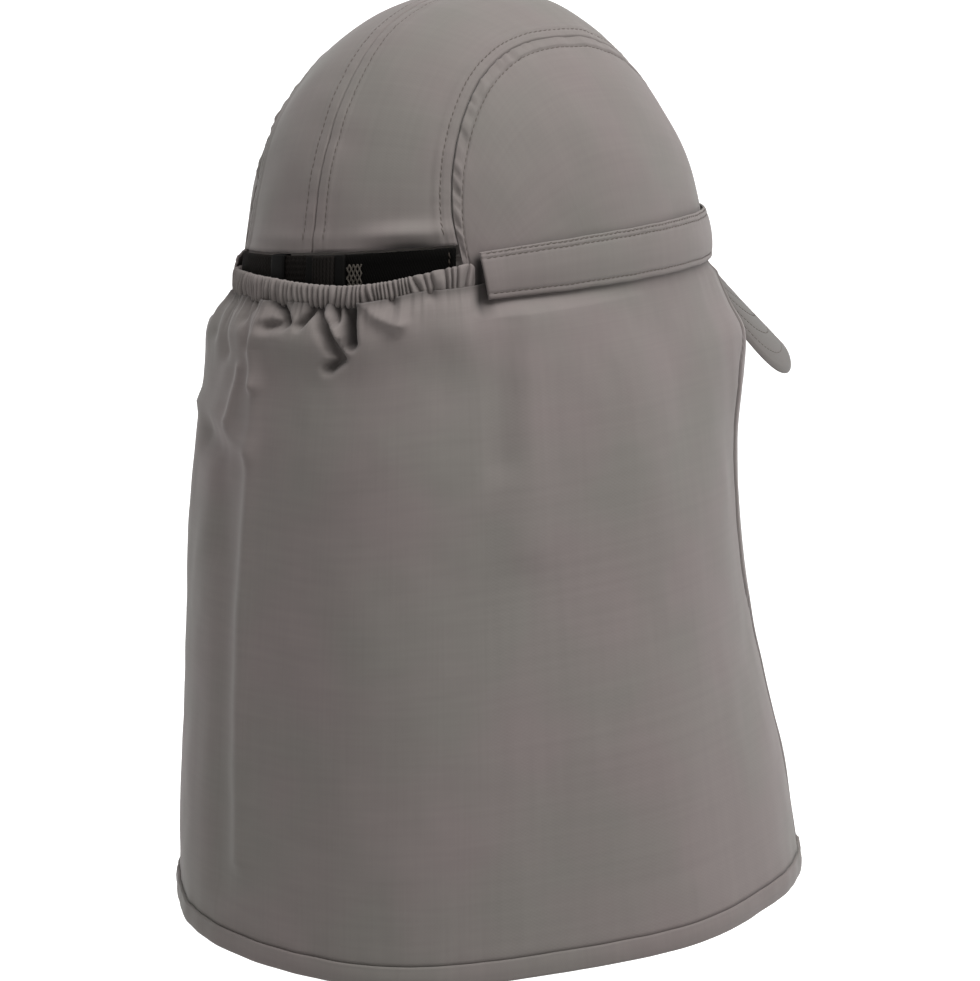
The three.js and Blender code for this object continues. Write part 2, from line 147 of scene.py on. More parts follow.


# A grid laid over a surface; the last function gives the painted shade of each place in a fold, for the
# cloth's finish
def gridMesh(columns, rows, pointAt, uvSize, paintedShadeAt=None):
    bm = bmesh.new()
    bmesh.ops.create_grid(bm, x_segments=columns, y_segments=rows, size=1)
    weave = bm.loops.layers.uv.new("weave")
    paintedShade = bm.verts.layers.float.new("paintedShade")
    for face in bm.faces:
        for loop in face.loops:
            u, v = (loop.vert.co.x + 1) / 2, (loop.vert.co.y + 1) / 2
            loop[weave].uv = (u * uvSize[0] * mm, v * uvSize[1] * mm)
    for vert in bm.verts:
        u, v = (vert.co.x + 1) / 2, (vert.co.y + 1) / 2
        vert[paintedShade] = paintedShadeAt(u, v) if paintedShadeAt else 0
        vert.co = pointAt(u, v) * mm
    return bm


def closeSeams(bm):
    bmesh.ops.remove_doubles(bm, verts=bm.verts[:], dist=0.02 * mm)
    bmesh.ops.holes_fill(bm, edges=[edge for edge in bm.edges if edge.is_boundary], sides=0)
    bmesh.ops.recalc_face_normals(bm, faces=bm.faces[:])


def faceAway(bm, middle):
    facing = 0
    for face in bm.faces:
        facing += (face.calc_center_median() - middle).dot(face.normal) * face.calc_area()
    if facing < 0:
        bmesh.ops.reverse_faces(bm, faces=bm.faces[:])


def meshFrom(bm, name):
    for face in bm.faces:
        face.smooth = True
    mesh = bpy.data.meshes.new(name)
    bm.to_mesh(mesh)
    bm.free()
    return mesh


def show(name, data):
    made = bpy.data.objects.new(name, data)
    bpy.context.scene.collection.objects.link(made)
    return made


# Makes a finished piece: its faces point away from the middle, and its wall is thickened towards it
def addPiece(bm, name, materials, nodes, wall=None, middle=Vector((0, 0, 0))):
    bm.normal_update()
    faceAway(bm, middle * mm)
    mesh = meshFrom(bm, name)
    piece = show(name, mesh)
    for material in materials:
        mesh.materials.append(material)
    if wall:
        solid = piece.modifiers.new("wall", "SOLIDIFY")
        solid.thickness = wall * mm
        solid.offset = -1
    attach(piece, "root")
    if nodes:
        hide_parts(*nodes)
    print(name, "made with", len(mesh.polygons), "faces")
    return piece


# Finishes: a wrapped socket turns sums into Math nodes
class Wire:
    def __init__(self, bench, socket):
        self.bench = bench
        self.socket = socket

    def maths(self, operation, *others):
        return self.bench.node("ShaderNodeMath", {"operation": operation}, dict(enumerate((self, *others))))

    def __add__(self, other):
        return self.maths("ADD", other)

    def __sub__(self, other):
        return self.maths("SUBTRACT", other)

    def __rsub__(self, other):
        return (self * -1).maths("ADD", other)

    def __mul__(self, other):
        return self.maths("MULTIPLY", other)

    __radd__ = __add__
    __rmul__ = __mul__


class Bench:
    def __init__(self, name):
        self.material = bpy.data.materials.new(name)
        self.material.use_nodes = True
        self.tree = self.material.node_tree
        self.tree.nodes.clear()

    def node(self, kind, settings=None, sockets=None, output=0):
        made = self.tree.nodes.new(kind)
        for key, value in (settings or {}).items():
            setattr(made, key, value)
        for key, value in (sockets or {}).items():
            if isinstance(value, Wire):
                self.tree.links.new(value.socket, made.inputs[key])
            else:
                made.inputs[key].default_value = value
        return Wire(self, made.outputs[output]) if len(made.outputs) else None

    def weave(self):
        return self.node("ShaderNodeUVMap", {"uv_map": "weave"})

    def parts(self, vector):
        split = self.node("ShaderNodeSeparateXYZ", {}, {0: vector})
        return split, Wire(self, split.socket.node.outputs[1])

    def noise(self, vector, scale, detail=2, stretch=(1, 1, 1)):
        mapped = self.node("ShaderNodeMapping", {}, {"Vector": vector, "Scale": stretch})
        return self.node("ShaderNodeTexNoise", {}, {"Vector": mapped, "Scale": scale, "Detail": detail})

    def blend(self, factor, first, second, kind="MIX"):
        settings = {"data_type": "RGBA", "blend_type": kind}
        return self.node("ShaderNodeMix", settings, {0: factor, 6: first, 7: second}, 2)

    def finish(self, colour, roughness, height=None, depth=0.1, strength=1.0, **constants):
        sockets = {"Base Color": colour, "Roughness": roughness}
        for name, value in constants.items():
            sockets[name.replace("_", " ")] = value
        if height:
            sockets["Normal"] = self.node("ShaderNodeBump", {}, {
                "Strength": strength, "Distance": depth * mm, "Height": height,
            })
        surface = self.node("ShaderNodeBsdfPrincipled", {}, sockets)
        self.node("ShaderNodeOutputMaterial", {}, {"Surface": surface})
        return self.material


def srgb(red, green, blue):
    def linear(value):
        share = value / 255
        return share / 12.92 if share <= 0.04045 else ((share + 0.055) / 1.055) ** 2.4
    return (linear(red), linear(green), linear(blue), 1)


def dimmed(colour, share):
    return [channel * share for channel in srgb(*colour)[:3]] + [1]


cloth = {
    "thread": 0.42, "warm": (113, 105, 103), "cool": (109, 105, 101), "tintSize": 22, "tintFrom": 0.35,
    "tintContrast": 3.2, "slub": 0.13, "slubSize": 620, "slubStretch": 26, "weftShare": 0.55,
    "weaveDepth": 0.02,
    # the painted shade in folds: how strong it is and its near black colour
    "roughness": 0.86, "sheen": 0.12, "creaseShade": 0.95, "paintedShadeColour": (0.004, 0.003, 0.003, 1),
}


# Fine plain weave with slubs in both directions and a faint change of tint, darkened by the painted shade
# that the mesh carries
def clothFinish(name, shade=1.0):
    bench = Bench(name)
    weave = bench.weave()
    across, along = bench.parts(weave)
    turn = math.pi / (cloth["thread"] * mm)
    threads = (across * turn).maths("SINE") * (along * turn).maths("SINE")
    stretch = cloth["slubStretch"]
    weft = bench.noise(weave, cloth["slubSize"] / stretch, 3, (1, stretch, 1))
    warp = bench.noise(weave, cloth["slubSize"] / stretch, 3, (stretch, 1, 1))
    place = bench.node("ShaderNodeTexCoord", {}, {}, 3)
    tint = bench.noise(place, cloth["tintSize"], 2)
    tinted = (tint - cloth["tintFrom"]) * cloth["tintContrast"]
    base = bench.blend(tinted, dimmed(cloth["warm"], shade), dimmed(cloth["cool"], shade))
    slubs = weft * cloth["weftShare"] + warp * (1 - cloth["weftShare"])
    level = slubs * cloth["slub"] * 2 + (1 - cloth["slub"]) + threads * 0.03
    tone = bench.node("ShaderNodeCombineXYZ", {}, {0: level, 1: level, 2: level})
    woven = bench.blend(1.0, base, tone, "MULTIPLY")
    # painted shade from the mesh turns the colour towards near black in folds, hollows and pockets
    paintedShade = bench.node("ShaderNodeAttribute", {"attribute_name": "paintedShade"}, {}, 2)
    colour = bench.blend(paintedShade * cloth["creaseShade"], woven, cloth["paintedShadeColour"])
    height = threads * 0.3 + slubs * 1.6
    roughness = slubs * 0.1 + (cloth["roughness"] - 0.05)
    return bench.finish(colour, roughness, height, cloth["weaveDepth"], 0.8,
                        Sheen_Weight=cloth["sheen"], Sheen_Roughness=0.45, Specular_IOR_Level=0.22)


crownCloth = clothFinish("crownCloth")
bandCloth = clothFinish("bandCloth")
flapCloth = clothFinish("flapCloth")
hemCloth = clothFinish("hemCloth", 0.96)
# the peak's cloth is dimmed with painted shade, since its top faces the lights
peakClothShaded = clothFinish("peakClothShaded", 0.7)
print("cloth finishes ready")


def threadFinish(name, colour, roughness):
    bench = Bench(name)
    place = bench.node("ShaderNodeTexCoord", {}, {}, 3)
    twist = bench.noise(place, 2600, 2)
    shade = bench.blend(twist, dimmed(colour, 0.8), srgb(*colour))
    return bench.finish(shade, roughness, twist, 0.08, 0.6, Specular_IOR_Level=0.2)


threadGrey = threadFinish("threadGrey", (94, 87, 83), 0.8)
# the needle holes are dark discs of painted shade
needleHoleShade = threadFinish("needleHoleShade", (38, 34, 31), 0.95)
threadBlack = threadFinish("threadBlack", (52, 46, 40), 0.7)

stitching = {
    "pitch": 2.6, "share": 0.7, "thick": 0.3, "wide": 0.44, "holeSize": 0.54, "lift": 0.06, "holeLift": 0.05,
    "samples": 200, "lengthSpread": (0.92, 1.06), "holeSpread": (0.8, 1.15), "lean": 5,
}


# One small mesh of a stitch and a dark disc of painted shade in the needle hole at its end, copied and sized
# along every row
def stitchTemplate():
    bm = bmesh.new()
    lying = Matrix.Diagonal((0.5, 0.5, 0.5, 1)) @ Matrix.Rotation(math.pi / 2, 4, "Y")
    bmesh.ops.create_uvsphere(bm, u_segments=8, v_segments=5, radius=1, matrix=lying)
    threadCorners = len(bm.verts)
    made = bmesh.ops.create_circle(bm, cap_ends=True, segments=6, radius=0.5)
    for face in {face for vert in made["verts"] for face in vert.link_faces}:
        face.material_index = 1
        if face.normal.z < 0:
            face.normal_flip()
    return meshFrom(bm, "stitchTemplate"), threadCorners


stitchShape, threadCorners = stitchTemplate()


# A row of stitches along a line on a surface: lineAt(share, aside) gives points in millimetres
def stitchRow(bm, lineAt, start=0.0, end=1.0, pitch=None, size=1.0, up=None):
    pitch = pitch or stitching["pitch"]
    steps = stitching["samples"]
    samples = [lineAt(mix(start, end, k / steps), 0) for k in range(steps + 1)]
    runs = [0.0]
    for before, after in zip(samples, samples[1:]):
        runs.append(runs[-1] + (after - before).length)
    count = max(int(runs[-1] / pitch), 1)
    row = 0
    for k in range(count):
        goal = runs[-1] * (k + 0.5) / count
        while runs[row + 1] < goal:
            row += 1
        share = mix(start, end, (row + (goal - runs[row]) / (runs[row + 1] - runs[row])) / steps)
        here = lineAt(share, 0)
        step = pitch / 2 / runs[-1] * (end - start)
        ahead = (lineAt(share + step, 0) - lineAt(share - step, 0)).normalized()
        aside = (lineAt(share, 0.6) - lineAt(share, -0.6)).normalized()
        normal = ahead.cross(aside).normalized()
        if normal.dot(up or Vector((here.x, here.y, max(here.z, 0)))) < 0:
            normal.negate()
        aside = normal.cross(ahead)
        basis = Matrix((ahead, aside, normal)).transposed().to_4x4()
        length = pitch * stitching["share"] * draw.uniform(*stitching["lengthSpread"])
        lean = Matrix.Rotation(math.radians(draw.uniform(-stitching["lean"], stitching["lean"])), 4, "Z")
        sizes = Matrix.Diagonal((length, stitching["wide"] * size, stitching["thick"] * size, 1))
        hole = stitching["holeSize"] * 2 * size * draw.uniform(*stitching["holeSpread"])
        place = Matrix.Translation(here + normal * stitching["lift"])
        place = Matrix.Scale(mm, 4) @ place @ basis @ lean @ sizes
        spot = Matrix.Translation(here + ahead * (pitch / 2) + normal * stitching["holeLift"])
        spot = Matrix.Scale(mm, 4) @ spot @ basis @ Matrix.Diagonal((hole, hole, hole, 1))
        bm.from_mesh(stitchShape)
        bm.verts.ensure_lookup_table()
        fresh = bm.verts[len(bm.verts) - len(stitchShape.vertices):]
        for number, vert in enumerate(fresh):
            vert.co = (place if number < threadCorners else spot) @ vert.co


# Crown: two centre panels and two side panels with topstitched seams
backRise = math.asin(crown["openingHeight"] / crown["height"])


def seamOut(along):
    return readTable(crown["sideSeam"], 1, along)


def backArc(out):
    return math.asin(math.sin(backRise) / math.sqrt(1 - out * out))


def arcDirection(arc, out):
    middle = math.sqrt(1 - out * out)
    return Vector((out, middle * math.cos(arc), middle * math.sin(arc)))


seamStart = backArc(seamOut(backRise / math.pi)) / math.pi
seamGap = seam["gap"] / crown["halfWidth"]
frontEnd = 180 - math.degrees(math.asin(seamOut(1) + seamGap))


# Height of the cloth beside a seam: a groove on the line, a lifted allowance and a stitched dip
def seamRelief(distance, run, seed, stitchAt, extraPucker=0):
    groove = -seam["groove"] * bump(distance, 0, seam["grooveWidth"])
    raisedEnd = (seam["allowance"] - 0.4, seam["allowance"] + seam["allowanceEase"])
    raised = seam["lift"] * (1 - ease(distance, *raisedEnd))
    dip = -seam["stitchDip"] * bump(distance, stitchAt, seam["stitchDipWidth"])
    small = noise.noise(Vector((run / seam["puckerSize"], distance / 9, seed)))
    large = noise.noise(Vector((run / seam["gatherSize"], distance / 16, seed + 40)))
    puckered = seam["puckerShare"] + extraPucker
    pucker = seam["pucker"] * puckered * small * (1 - ease(distance, *seam["puckerEnd"]))
    gather = seam["gather"] * large * math.exp(-(distance / seam["gatherReach"]) ** 2)
    return groove + raised + dip + pucker + gather


def crownWrinkle(point):
    size = crown["wrinkleSize"]
    soft = noise.noise(point / size) + 0.4 * noise.noise(point / (size / 2.3) + Vector((9, 4, 2)))
    return crown["wrinkle"] * soft


# The cloth stands out over the strap near the right side seam and curls back in at its edge
def edgeBulge(angle, height):
    over = sum(bump(angle, middle, width) * out for middle, width, out in backEdge["bulges"])
    over *= bump(height, crown["openingHeight"] + backEdge["bulgeUp"], backEdge["bulgeReach"])
    lip = bump(height, crown["openingHeight"] + backEdge["lipUp"], backEdge["lipReach"])
    return over + backEdge["lip"] * lip


# Painted shade: under the bulge over the strap and in the pocket behind the casing's end
def edgeShade(angle, height):
    under = backEdge["shade"] * bump(angle, backEdge["shadeAngle"], backEdge["shadeWidth"])
    under *= bump(height, crown["openingHeight"] + backEdge["shadeUp"], backEdge["shadeReach"])
    pocket = bump(abs(angle), backEdge["pocketAngle"], backEdge["pocketWidth"])
    pocket *= ease(height, *backEdge["pocketStart"]) * (1 - ease(height, *backEdge["pocketEnd"]))
    return clamp(under + pocket)


def bodyAngle(point):
    return math.degrees(math.atan2(point.x / crown["halfWidth"], point.y / crown["halfLength"]))


def puff(across, along):
    return crown["puff"] * math.sin(math.pi * across) * math.sin(math.pi * along)


def panelWidth(directionAt, side, along):
    return (crownPoint(directionAt(side, along, 1), 0) - crownPoint(directionAt(side, along, 0), 0)).length


def centreDirection(side, along, across):
    edge = seamOut(mix(seamStart, 1, along)) - seamGap
    out = mix(seamGap, edge, across)
    return arcDirection(mix(backArc(out), math.pi, along), side * out)


def centrePoint(side, along, across):
    direction = centreDirection(side, along, across)
    rough = crownPoint(direction, 0)
    width = panelWidth(centreDirection, side, along) * seam["arcOverChord"]
    run = along * crown["arcLength"]
    lift = puff(across, along) + crownWrinkle(rough)
    lift += seamRelief(abs(rough.x), run, 3 * side, seam["centreAt"])
    lift += seamRelief((1 - across) * width, run, 11, seam["outerAt"])
    if along < backEdge["shadedTo"]:
        lift += edgeBulge(bodyAngle(rough), rough.z + crown["rimRise"] * rough.y)
    return crownPoint(direction, lift)


# Painted shade on the crown's cloth, only near its lower edge behind
def shadeOf(directionAt, side, along, across):
    if along >= backEdge["shadedTo"]:
        return 0
    point = crownPoint(directionAt(side, along, across), 0)
    return edgeShade(bodyAngle(point), point.z + crown["rimRise"] * point.y)


def sideDirection(side, along, down):
    top = arcDirection(along * math.pi, seamOut(along) + seamGap)
    around = math.radians(mix(crown["openingAngle"] + 0.2, frontEnd, along))
    direction = top.lerp(Vector((math.sin(around), math.cos(around), 0)), down)
    direction.x *= side
    return direction


def sidePoint(side, along, down):
    direction = sideDirection(side, along, down)
    rough = crownPoint(direction, 0)
    width = panelWidth(sideDirection, side, along)
    run = along * crown["arcLength"]
    extraPucker = seam["lowPucker"] * (1 - ease(along, *seam["lowEnd"]))
    lift = puff(down, along) + crownWrinkle(rough)
    lift += seamRelief(down * width, run, 23 * side, seam["innerAt"], extraPucker) * ease(width, 2, 12)
    return crownPoint(direction, lift)


# Closer columns at both edges of a panel, where the seams are
def edgeDense(share, amount=0.78):
    return share - amount * math.sin(2 * math.pi * share) / (2 * math.pi)


def topDense(share, amount=0.3):
    return amount * share + (1 - amount) * share ** 3


for sideName, side in (("left", 1), ("right", -1)):
    bm = gridMesh(240, 60, lambda u, v: centrePoint(side, u, edgeDense(v)), (crown["arcLength"], 45),
                  lambda u, v: shadeOf(centreDirection, side, u, edgeDense(v)))
    addPiece(bm, f"crownCentre.{sideName}", [crownCloth], [f"crown_centre_{sideName}"],
             crown["cloth"])
    bm = gridMesh(230, 84, lambda u, v: sidePoint(side, u, topDense(v)), (crown["arcLength"], 95),
                  lambda u, v: shadeOf(sideDirection, side, u, topDense(v)))
    bmesh.ops.remove_doubles(bm, verts=bm.verts[:], dist=0.05 * mm)
    addPiece(bm, f"crownSide.{sideName}", [crownCloth], [f"crown_side_{sideName}"],
             crown["cloth"])


def centreRow(side):
    def lineAt(share, aside):
        goal = seam["centreAt"] + aside
        out = goal / crown["halfWidth"]
        for _ in range(2):
            arc = mix(backArc(out), math.pi, share)
            out *= goal / crownPoint(arcDirection(arc, out), 0).x
        across = (out - seamGap) / (seamOut(mix(seamStart, 1, share)) - 2 * seamGap)
        return centrePoint(side, share, across)
    return lineAt


def outerRow(side):
    def lineAt(share, aside):
        width = panelWidth(centreDirection, side, share) * seam["arcOverChord"]
        return centrePoint(side, share, 1 - (seam["outerAt"] + aside) / width)
    return lineAt


def innerRow(side):
    def lineAt(share, aside):
        width = max(panelWidth(sideDirection, side, share), 8)
        return sidePoint(side, share, (seam["innerAt"] + aside) / width)
    return lineAt


bm = bmesh.new()
for side in (1, -1):
    stitchRow(bm, centreRow(side), 0.012, 0.985)
    stitchRow(bm, outerRow(side), 0.012, 0.985)
    stitchRow(bm, innerRow(side), 0.07, 0.93)
addPiece(bm, "crownStitches", [threadGrey, needleHoleShade], [])

# Cover bands: folded strips with a double row of stitches above and one row below
band = {
    "height": 18.5, "drop": 1, "thickness": 1.5, "backAngle": 42.3, "frontAngle": 142, "edgeRound": 1,
    "seatLow": 1.6, "seatHigh": 1.1, "tuck": 5, "pillow": 0.5, "wave": 0.45,
    "topRows": (17.6, 15.7), "bottomRow": 1.3, "stitchDip": 0.28, "stitchDipWidth": 0.55, "pitch": 2.3,
    "endLift": 1.1, "endReach": 4, "cloth": 0.9, "slant": 2, "slantReach": 12, "perDegree": 1.5,
    "pucker": 0.22, "puckerAt": 17, "puckerReach": 3, "edgeWave": 0.25,
    # angle, then the top edge's share of the height
    "top": [(42.3, .845), (60, .91), (80, .95), (142, 1)],
}


def bandPoint(side, away, height):
    fromEnd = min(away - band["backAngle"], band["frontAngle"] - away) * band["perDegree"]
    fromEdge = min(band["height"] - height, height + band["drop"], fromEnd)
    rounded = math.sqrt(max(1 - (1 - clamp(fromEdge / band["edgeRound"])) ** 2, 0))
    seat = mix(band["seatLow"], band["seatHigh"], ease(height, band["tuck"], band["height"]))
    share = (height + band["drop"]) / (band["height"] + band["drop"])
    out = seat + band["thickness"] * mix(0.5, 1, rounded) + band["pillow"] * math.sin(math.pi * share)
    for row in (*band["topRows"], band["bottomRow"]):
        out -= band["stitchDip"] * bump(height, row, band["stitchDipWidth"])
    run = away * band["perDegree"]
    small = noise.noise(Vector((run / 2.6, height / 7, side * 5)))
    out += band["pucker"] * small * bump(height, band["puckerAt"], band["puckerReach"])
    out += band["wave"] * noise.noise(Vector((run / 22, height / 15, side * 9))) * share
    out += band["endLift"] * bump(away, band["backAngle"], band["endReach"])
    edge = band["edgeWave"] * noise.noise(Vector((run / 9, side * 3, 0)))
    level = height * (readTable(band["top"], 1, away) if height > 0 else 1)
    slanted = 1 - ease(away, band["backAngle"], band["backAngle"] + band["slantReach"])
    return wallPoint(side * (away + band["slant"] * (1 - share) * slanted), level + edge, out)


bm = bmesh.new()
for side in (1, -1):
    for height in (*band["topRows"], band["bottomRow"]):
        def bandLine(share, aside, height=height):
            away = mix(band["backAngle"] + 1.2, band["frontAngle"] - 1, share)
            return bandPoint(side, away, height + aside)
        stitchRow(bm, bandLine, pitch=band["pitch"])
addPiece(bm, "bandStitches", [threadGrey, needleHoleShade], [])
for sideName, side in (("left", 1), ("right", -1)):
    def bandGrid(u, v):
        away = mix(band["backAngle"], band["frontAngle"], edgeDense(u, 0.5))
        return bandPoint(side, away, mix(band["height"], -band["drop"], edgeDense(v, 0.7)))
    bm = gridMesh(280, 44, bandGrid, (155, 20))
    addPiece(bm, f"coverBand.{sideName}", [bandCloth], [f"band_{sideName}"],
             band["cloth"])

# Elastic casing: a tube with narrow uneven pleats
casing = {
    "height": 8.8, "depth": 3.4, "endDepth": 2, "endAngle": 41.6, "endTaper": 1.2, "waver": 0.5,
    # angle, then the casing's lower and upper edge as shares of its height
    "edges": [
        (-41.5, .31, 1.4), (-35.5, .3, 1.3), (-29, .28, 1.13), (-20, .07, .92), (-11, 0, .88),
        (0, .11, 1.03), (11, .2, 1.24), (25, .27, 1.34), (41.5, .31, 1.4),
    ],
    "seatOverSlider": 5.1, "seatOverStrap": 3, "seatAtEnd": 0.3, "sliderSpan": 10.5, "blendAngle": 16,
    "strapEnd": 37.2, "pleats": 60, "pleatDepth": 2.5, "pleatMiddle": 0.6, "pleatLift": 0.6,
    "pleatRound": 0.75, "strength": 0.72, "strengthSpread": 0.5, "strengthLimits": (0.3, 1.1),
    "wander": 1.3, "fineWander": 0.5, "lean": 0.75, "scallop": 1.5, "boxy": -0.35, "valleyShade": 0.12,
    "valleySharpness": 1.6,
    # from the first to the second angle on the wearer's right the pleats grow wider
    "wideFrom": (17, 30), "wideShare": 0.62,
}


def casingSeat(angle):
    away = abs(angle)
    blended = ease(away, casing["sliderSpan"], casing["sliderSpan"] + casing["blendAngle"])
    onStrap = mix(casing["seatOverSlider"], casing["seatOverStrap"], blended)
    return mix(onStrap, casing["seatAtEnd"], ease(away, casing["strapEnd"] - 1, casing["endAngle"]))


def casingLow(angle):
    return casing["height"] * readTable(casing["edges"], 1, angle)


def casingHigh(angle):
    return casing["height"] * readTable(casing["edges"], 2, angle)


def casingDepth(angle):
    shallower = ease(abs(angle), crown["openingAngle"] / 2, casing["endAngle"])
    return mix(casing["depth"], casing["endDepth"], shallower)


# How far a pleat stands up at an angle, sharp in its valleys and rounded on its ridges
def pleatAt(angle, down):
    share = angle / (2 * casing["endAngle"]) + 0.5
    wander = casing["wander"] * noise.noise(Vector((share * 9, down * 0.5, 2)))
    wander += casing["fineWander"] * noise.noise(Vector((share * 31, 0, 6)))
    lean = casing["lean"] * noise.noise(Vector((share * 14, 3, 1))) * (down - 0.5)
    closeness = mix(1, casing["wideShare"], ease(-angle, *casing["wideFrom"]))
    phase = casing["pleats"] * share * closeness + wander + lean
    ridge = abs(math.cos(math.pi * phase)) ** casing["pleatRound"]
    strength = casing["strength"] + casing["strengthSpread"] * noise.noise(Vector((phase * 0.9, 8, 4)))
    return ridge * clamp(strength, *casing["strengthLimits"])


def casingPoint(angle, turn):
    size = math.sqrt(clamp((casing["endAngle"] - abs(angle)) / casing["endTaper"]))
    down = (1 - math.cos(turn)) / 2
    pleat = (pleatAt(angle, down) - casing["pleatMiddle"]) * size
    sine = math.sin(turn)
    outside = max(sine, 0)
    low, high = casingLow(angle), casingHigh(angle)
    halfHeight = (high - low) / 2 * (0.5 + 0.5 * size) + casing["pleatLift"] * pleat
    depth = casingDepth(angle)
    height = (low + high) / 2 + halfHeight * math.cos(turn)
    height -= casing["scallop"] * pleat * max(-math.cos(turn), 0) ** 3
    swell = sine * abs(sine) ** casing["boxy"] if abs(sine) > 1e-6 else 0
    out = casingSeat(angle) + depth / 2 + depth / 2 * swell * size
    out += casing["pleatDepth"] * pleat * outside ** 0.6
    out += casing["waver"] * noise.noise(Vector((angle / 5, turn, 12))) * outside * size
    return wallPoint(angle, height, out)


def casingGrid(u, v):
    return casingPoint(mix(-casing["endAngle"], casing["endAngle"], u), 2 * math.pi * v)


# Painted shade in the valleys between the pleats, on the casing's outer side
def casingPaintedShade(u, v):
    angle = mix(-casing["endAngle"], casing["endAngle"], u)
    turn = 2 * math.pi * v
    valley = clamp(1 - casing["valleySharpness"] * pleatAt(angle, (1 - math.cos(turn)) / 2))
    return casing["valleyShade"] * valley * max(math.sin(turn), 0) ** 0.5


bm = gridMesh(760, 28, casingGrid, (150, 22), casingPaintedShade)
closeSeams(bm)
addPiece(bm, "flapCasing", [flapCloth], ["flap_casing"], middle=Vector((0, 0, 5)))

# Neck flap: one hanging sheet, gathered into the casing and tucked under the bands
flap = {
    "length": 228, "flare": 26, "cloth": 1, "tuck": 5, "frontAngle": 139, "gatherLength": 30, "freeLength": 6,
    "sideAngle": 92, "seat": 0.8, "seatLow": 1.6, "sewnGap": -1.6, "sewnShare": 0.62, "clear": 0.4,
    "perDegree": 1.75, "wave": 1.5, "waveSize": 46, "ripple": 0.28, "rippleSize": 11, "crumple": 0.7,
    "hemRipple": 0.5, "edgeHem": 7, "edgeLift": 0.5, "edgeStitch": 1.2, "gather": 1.8, "gatherReach": (10, 4),
    # share down, then the stand of the back, side and front as shares of the flare
    "stand": [
        (0, .04, 0, 0), (.015, .12, 0, 0), (.03, .22, 0, 0), (.06, .36, .04, .08), (.1, .43, .11, .26),
        (.15, .5, .2, .54), (.22, .59, .29, .53), (.3, .66, .38, .42), (.4, .73, .48, .4), (.5, .8, .58, .46),
        (.62, .86, .7, .61), (.74, .9, .84, .87), (.87, .93, 1, 1.16), (1, .93, 1.16, 1.36),
    ],
    # angle, then the hem's drop as a share of the length
    "hem": [
        (-139, 1), (-90, 1), (-50, .995), (-25, .985), (0, .96), (25, .93), (48, .925), (90, .96), (139, 1),
    ],
    "shoulder": 4.2, "shoulderAngle": 54, "shoulderWidth": 14, "shoulderStart": (0, 0.03),
    "shoulderEnd": (0.05, 0.17), "frontShoulder": 2, "frontShoulderAngle": 128, "frontShoulderWidth": 10,
    # half width, rise, sharpness, then the angle and the way down at each point of a fold's line
    "degree": 1.45, "foldReach": 3.2,
    "folds": [
        (3, 2.4, 1.8, (9, 1), (9, 11), (10.5, 17), (9, 30)),
        (3.6, 1.7, 1.8, (9, 30), (8.3, 52), (8.3, 90), (7.2, 200)),
        (6, -1.8, 2, (14, 62), (13.5, 100), (12.5, 210)),
        (2.4, -1.8, 2, (14, 6), (13, 16)),
        (1.5, -6, 2, (7.5, -1), (4, 3), (1.6, 7)),
        (1.9, -3.4, 2, (2.5, 8), (7, 9)),
        (1.3, -5.5, 2, (-4.8, -2), (-3.8, 4), (-2, 8)),
        (1.1, -4, 2, (14.5, -2), (13.2, 3)),
        (1.3, 2.4, 1.8, (-6, -1), (-8.8, 4), (-12, 11)),
        (1.2, -5, 2, (-10.2, -2), (-10.8, 6)),
        (1.9, -5.5, 2, (-6.3, 1), (-7, 5), (-9.8, 12), (-12.6, 19), (-10, 22)),
        (1.9, -9, 2.4, (-13.2, -2), (-14, 8), (-14.6, 14)),
        (2.2, 3, 1.7, (-15.6, -1), (-20, 5), (-25, 10)),
        (1.6, 1.8, 1.8, (-24.8, -1), (-25.2, 9)),
        (1.3, -2.2, 2, (-22.5, -2), (-23.2, 2)),
        (1.3, -2, 2, (-31, -2), (-31.4, 2)),
        (6, 1.4, 2, (-51, 12), (-49.5, 45), (-50, 90)),
        (3.6, 1.5, 1.8, (40, 42), (24, 43), (16.5, 48), (9, 54)),
        (4.5, -2, 2, (-47.5, 14), (-46, 30), (-45, 60)),
        (6, -2.6, 2, (30, 53), (20, 58), (18.7, 74), (18, 92)),
        (2.4, 1.5, 1.8, (15, 25), (16.5, 35), (17.3, 44)),
        (4, -2, 2, (27, 4), (25.5, 12), (23.5, 20)),
        (2.2, -2.4, 2, (17.4, -2), (16.6, 7)),
        (3.5, -1.6, 2, (33, -2), (32, 14)),
        (24, 2.6, 2, (-22, 60), (-26, 230)),
        (20, 2.4, 2, (-80, 50), (-86, 230)),
        (20, 2.4, 2, (78, 50), (84, 230)),
        (22, -2, 2, (-52, 110), (-55, 230)),
        (18, -1.6, 2, (40, 120), (42, 230)),
    ],
    # hollows deeper than shadeFrom are darkened with painted shade; so are the casing's underside and the
    # band's end
    "shadeFrom": 3, "hollowShade": 0.13, "underShade": 0.45, "underReach": 2.2,
    "pocketAngle": 43.2, "pocketWidth": 1.7, "pocketEnd": (5, 13),
    # share down, then the angle of the groove beside the front edge's facing
    "groove": [
        (0, 128), (.13, 128.5), (.2, 122.5), (.3, 121), (.42, 120), (.54, 121.5), (.64, 127), (.8, 131),
        (1, 132),
    ],
    "grooveDepth": 0.9, "grooveWidth": 0.55, "grooveShade": 0.85, "facing": 0.6, "facingEnd": (6, 9),
}


foldPaths = []
for width, height, sharpness, *line in flap["folds"]:
    path = [(at * flap["degree"], length) for at, length in line]
    across = [at for at, _ in path]
    foldPaths.append((width, height, sharpness, path, (min(across), max(across)), path[-1][1]))


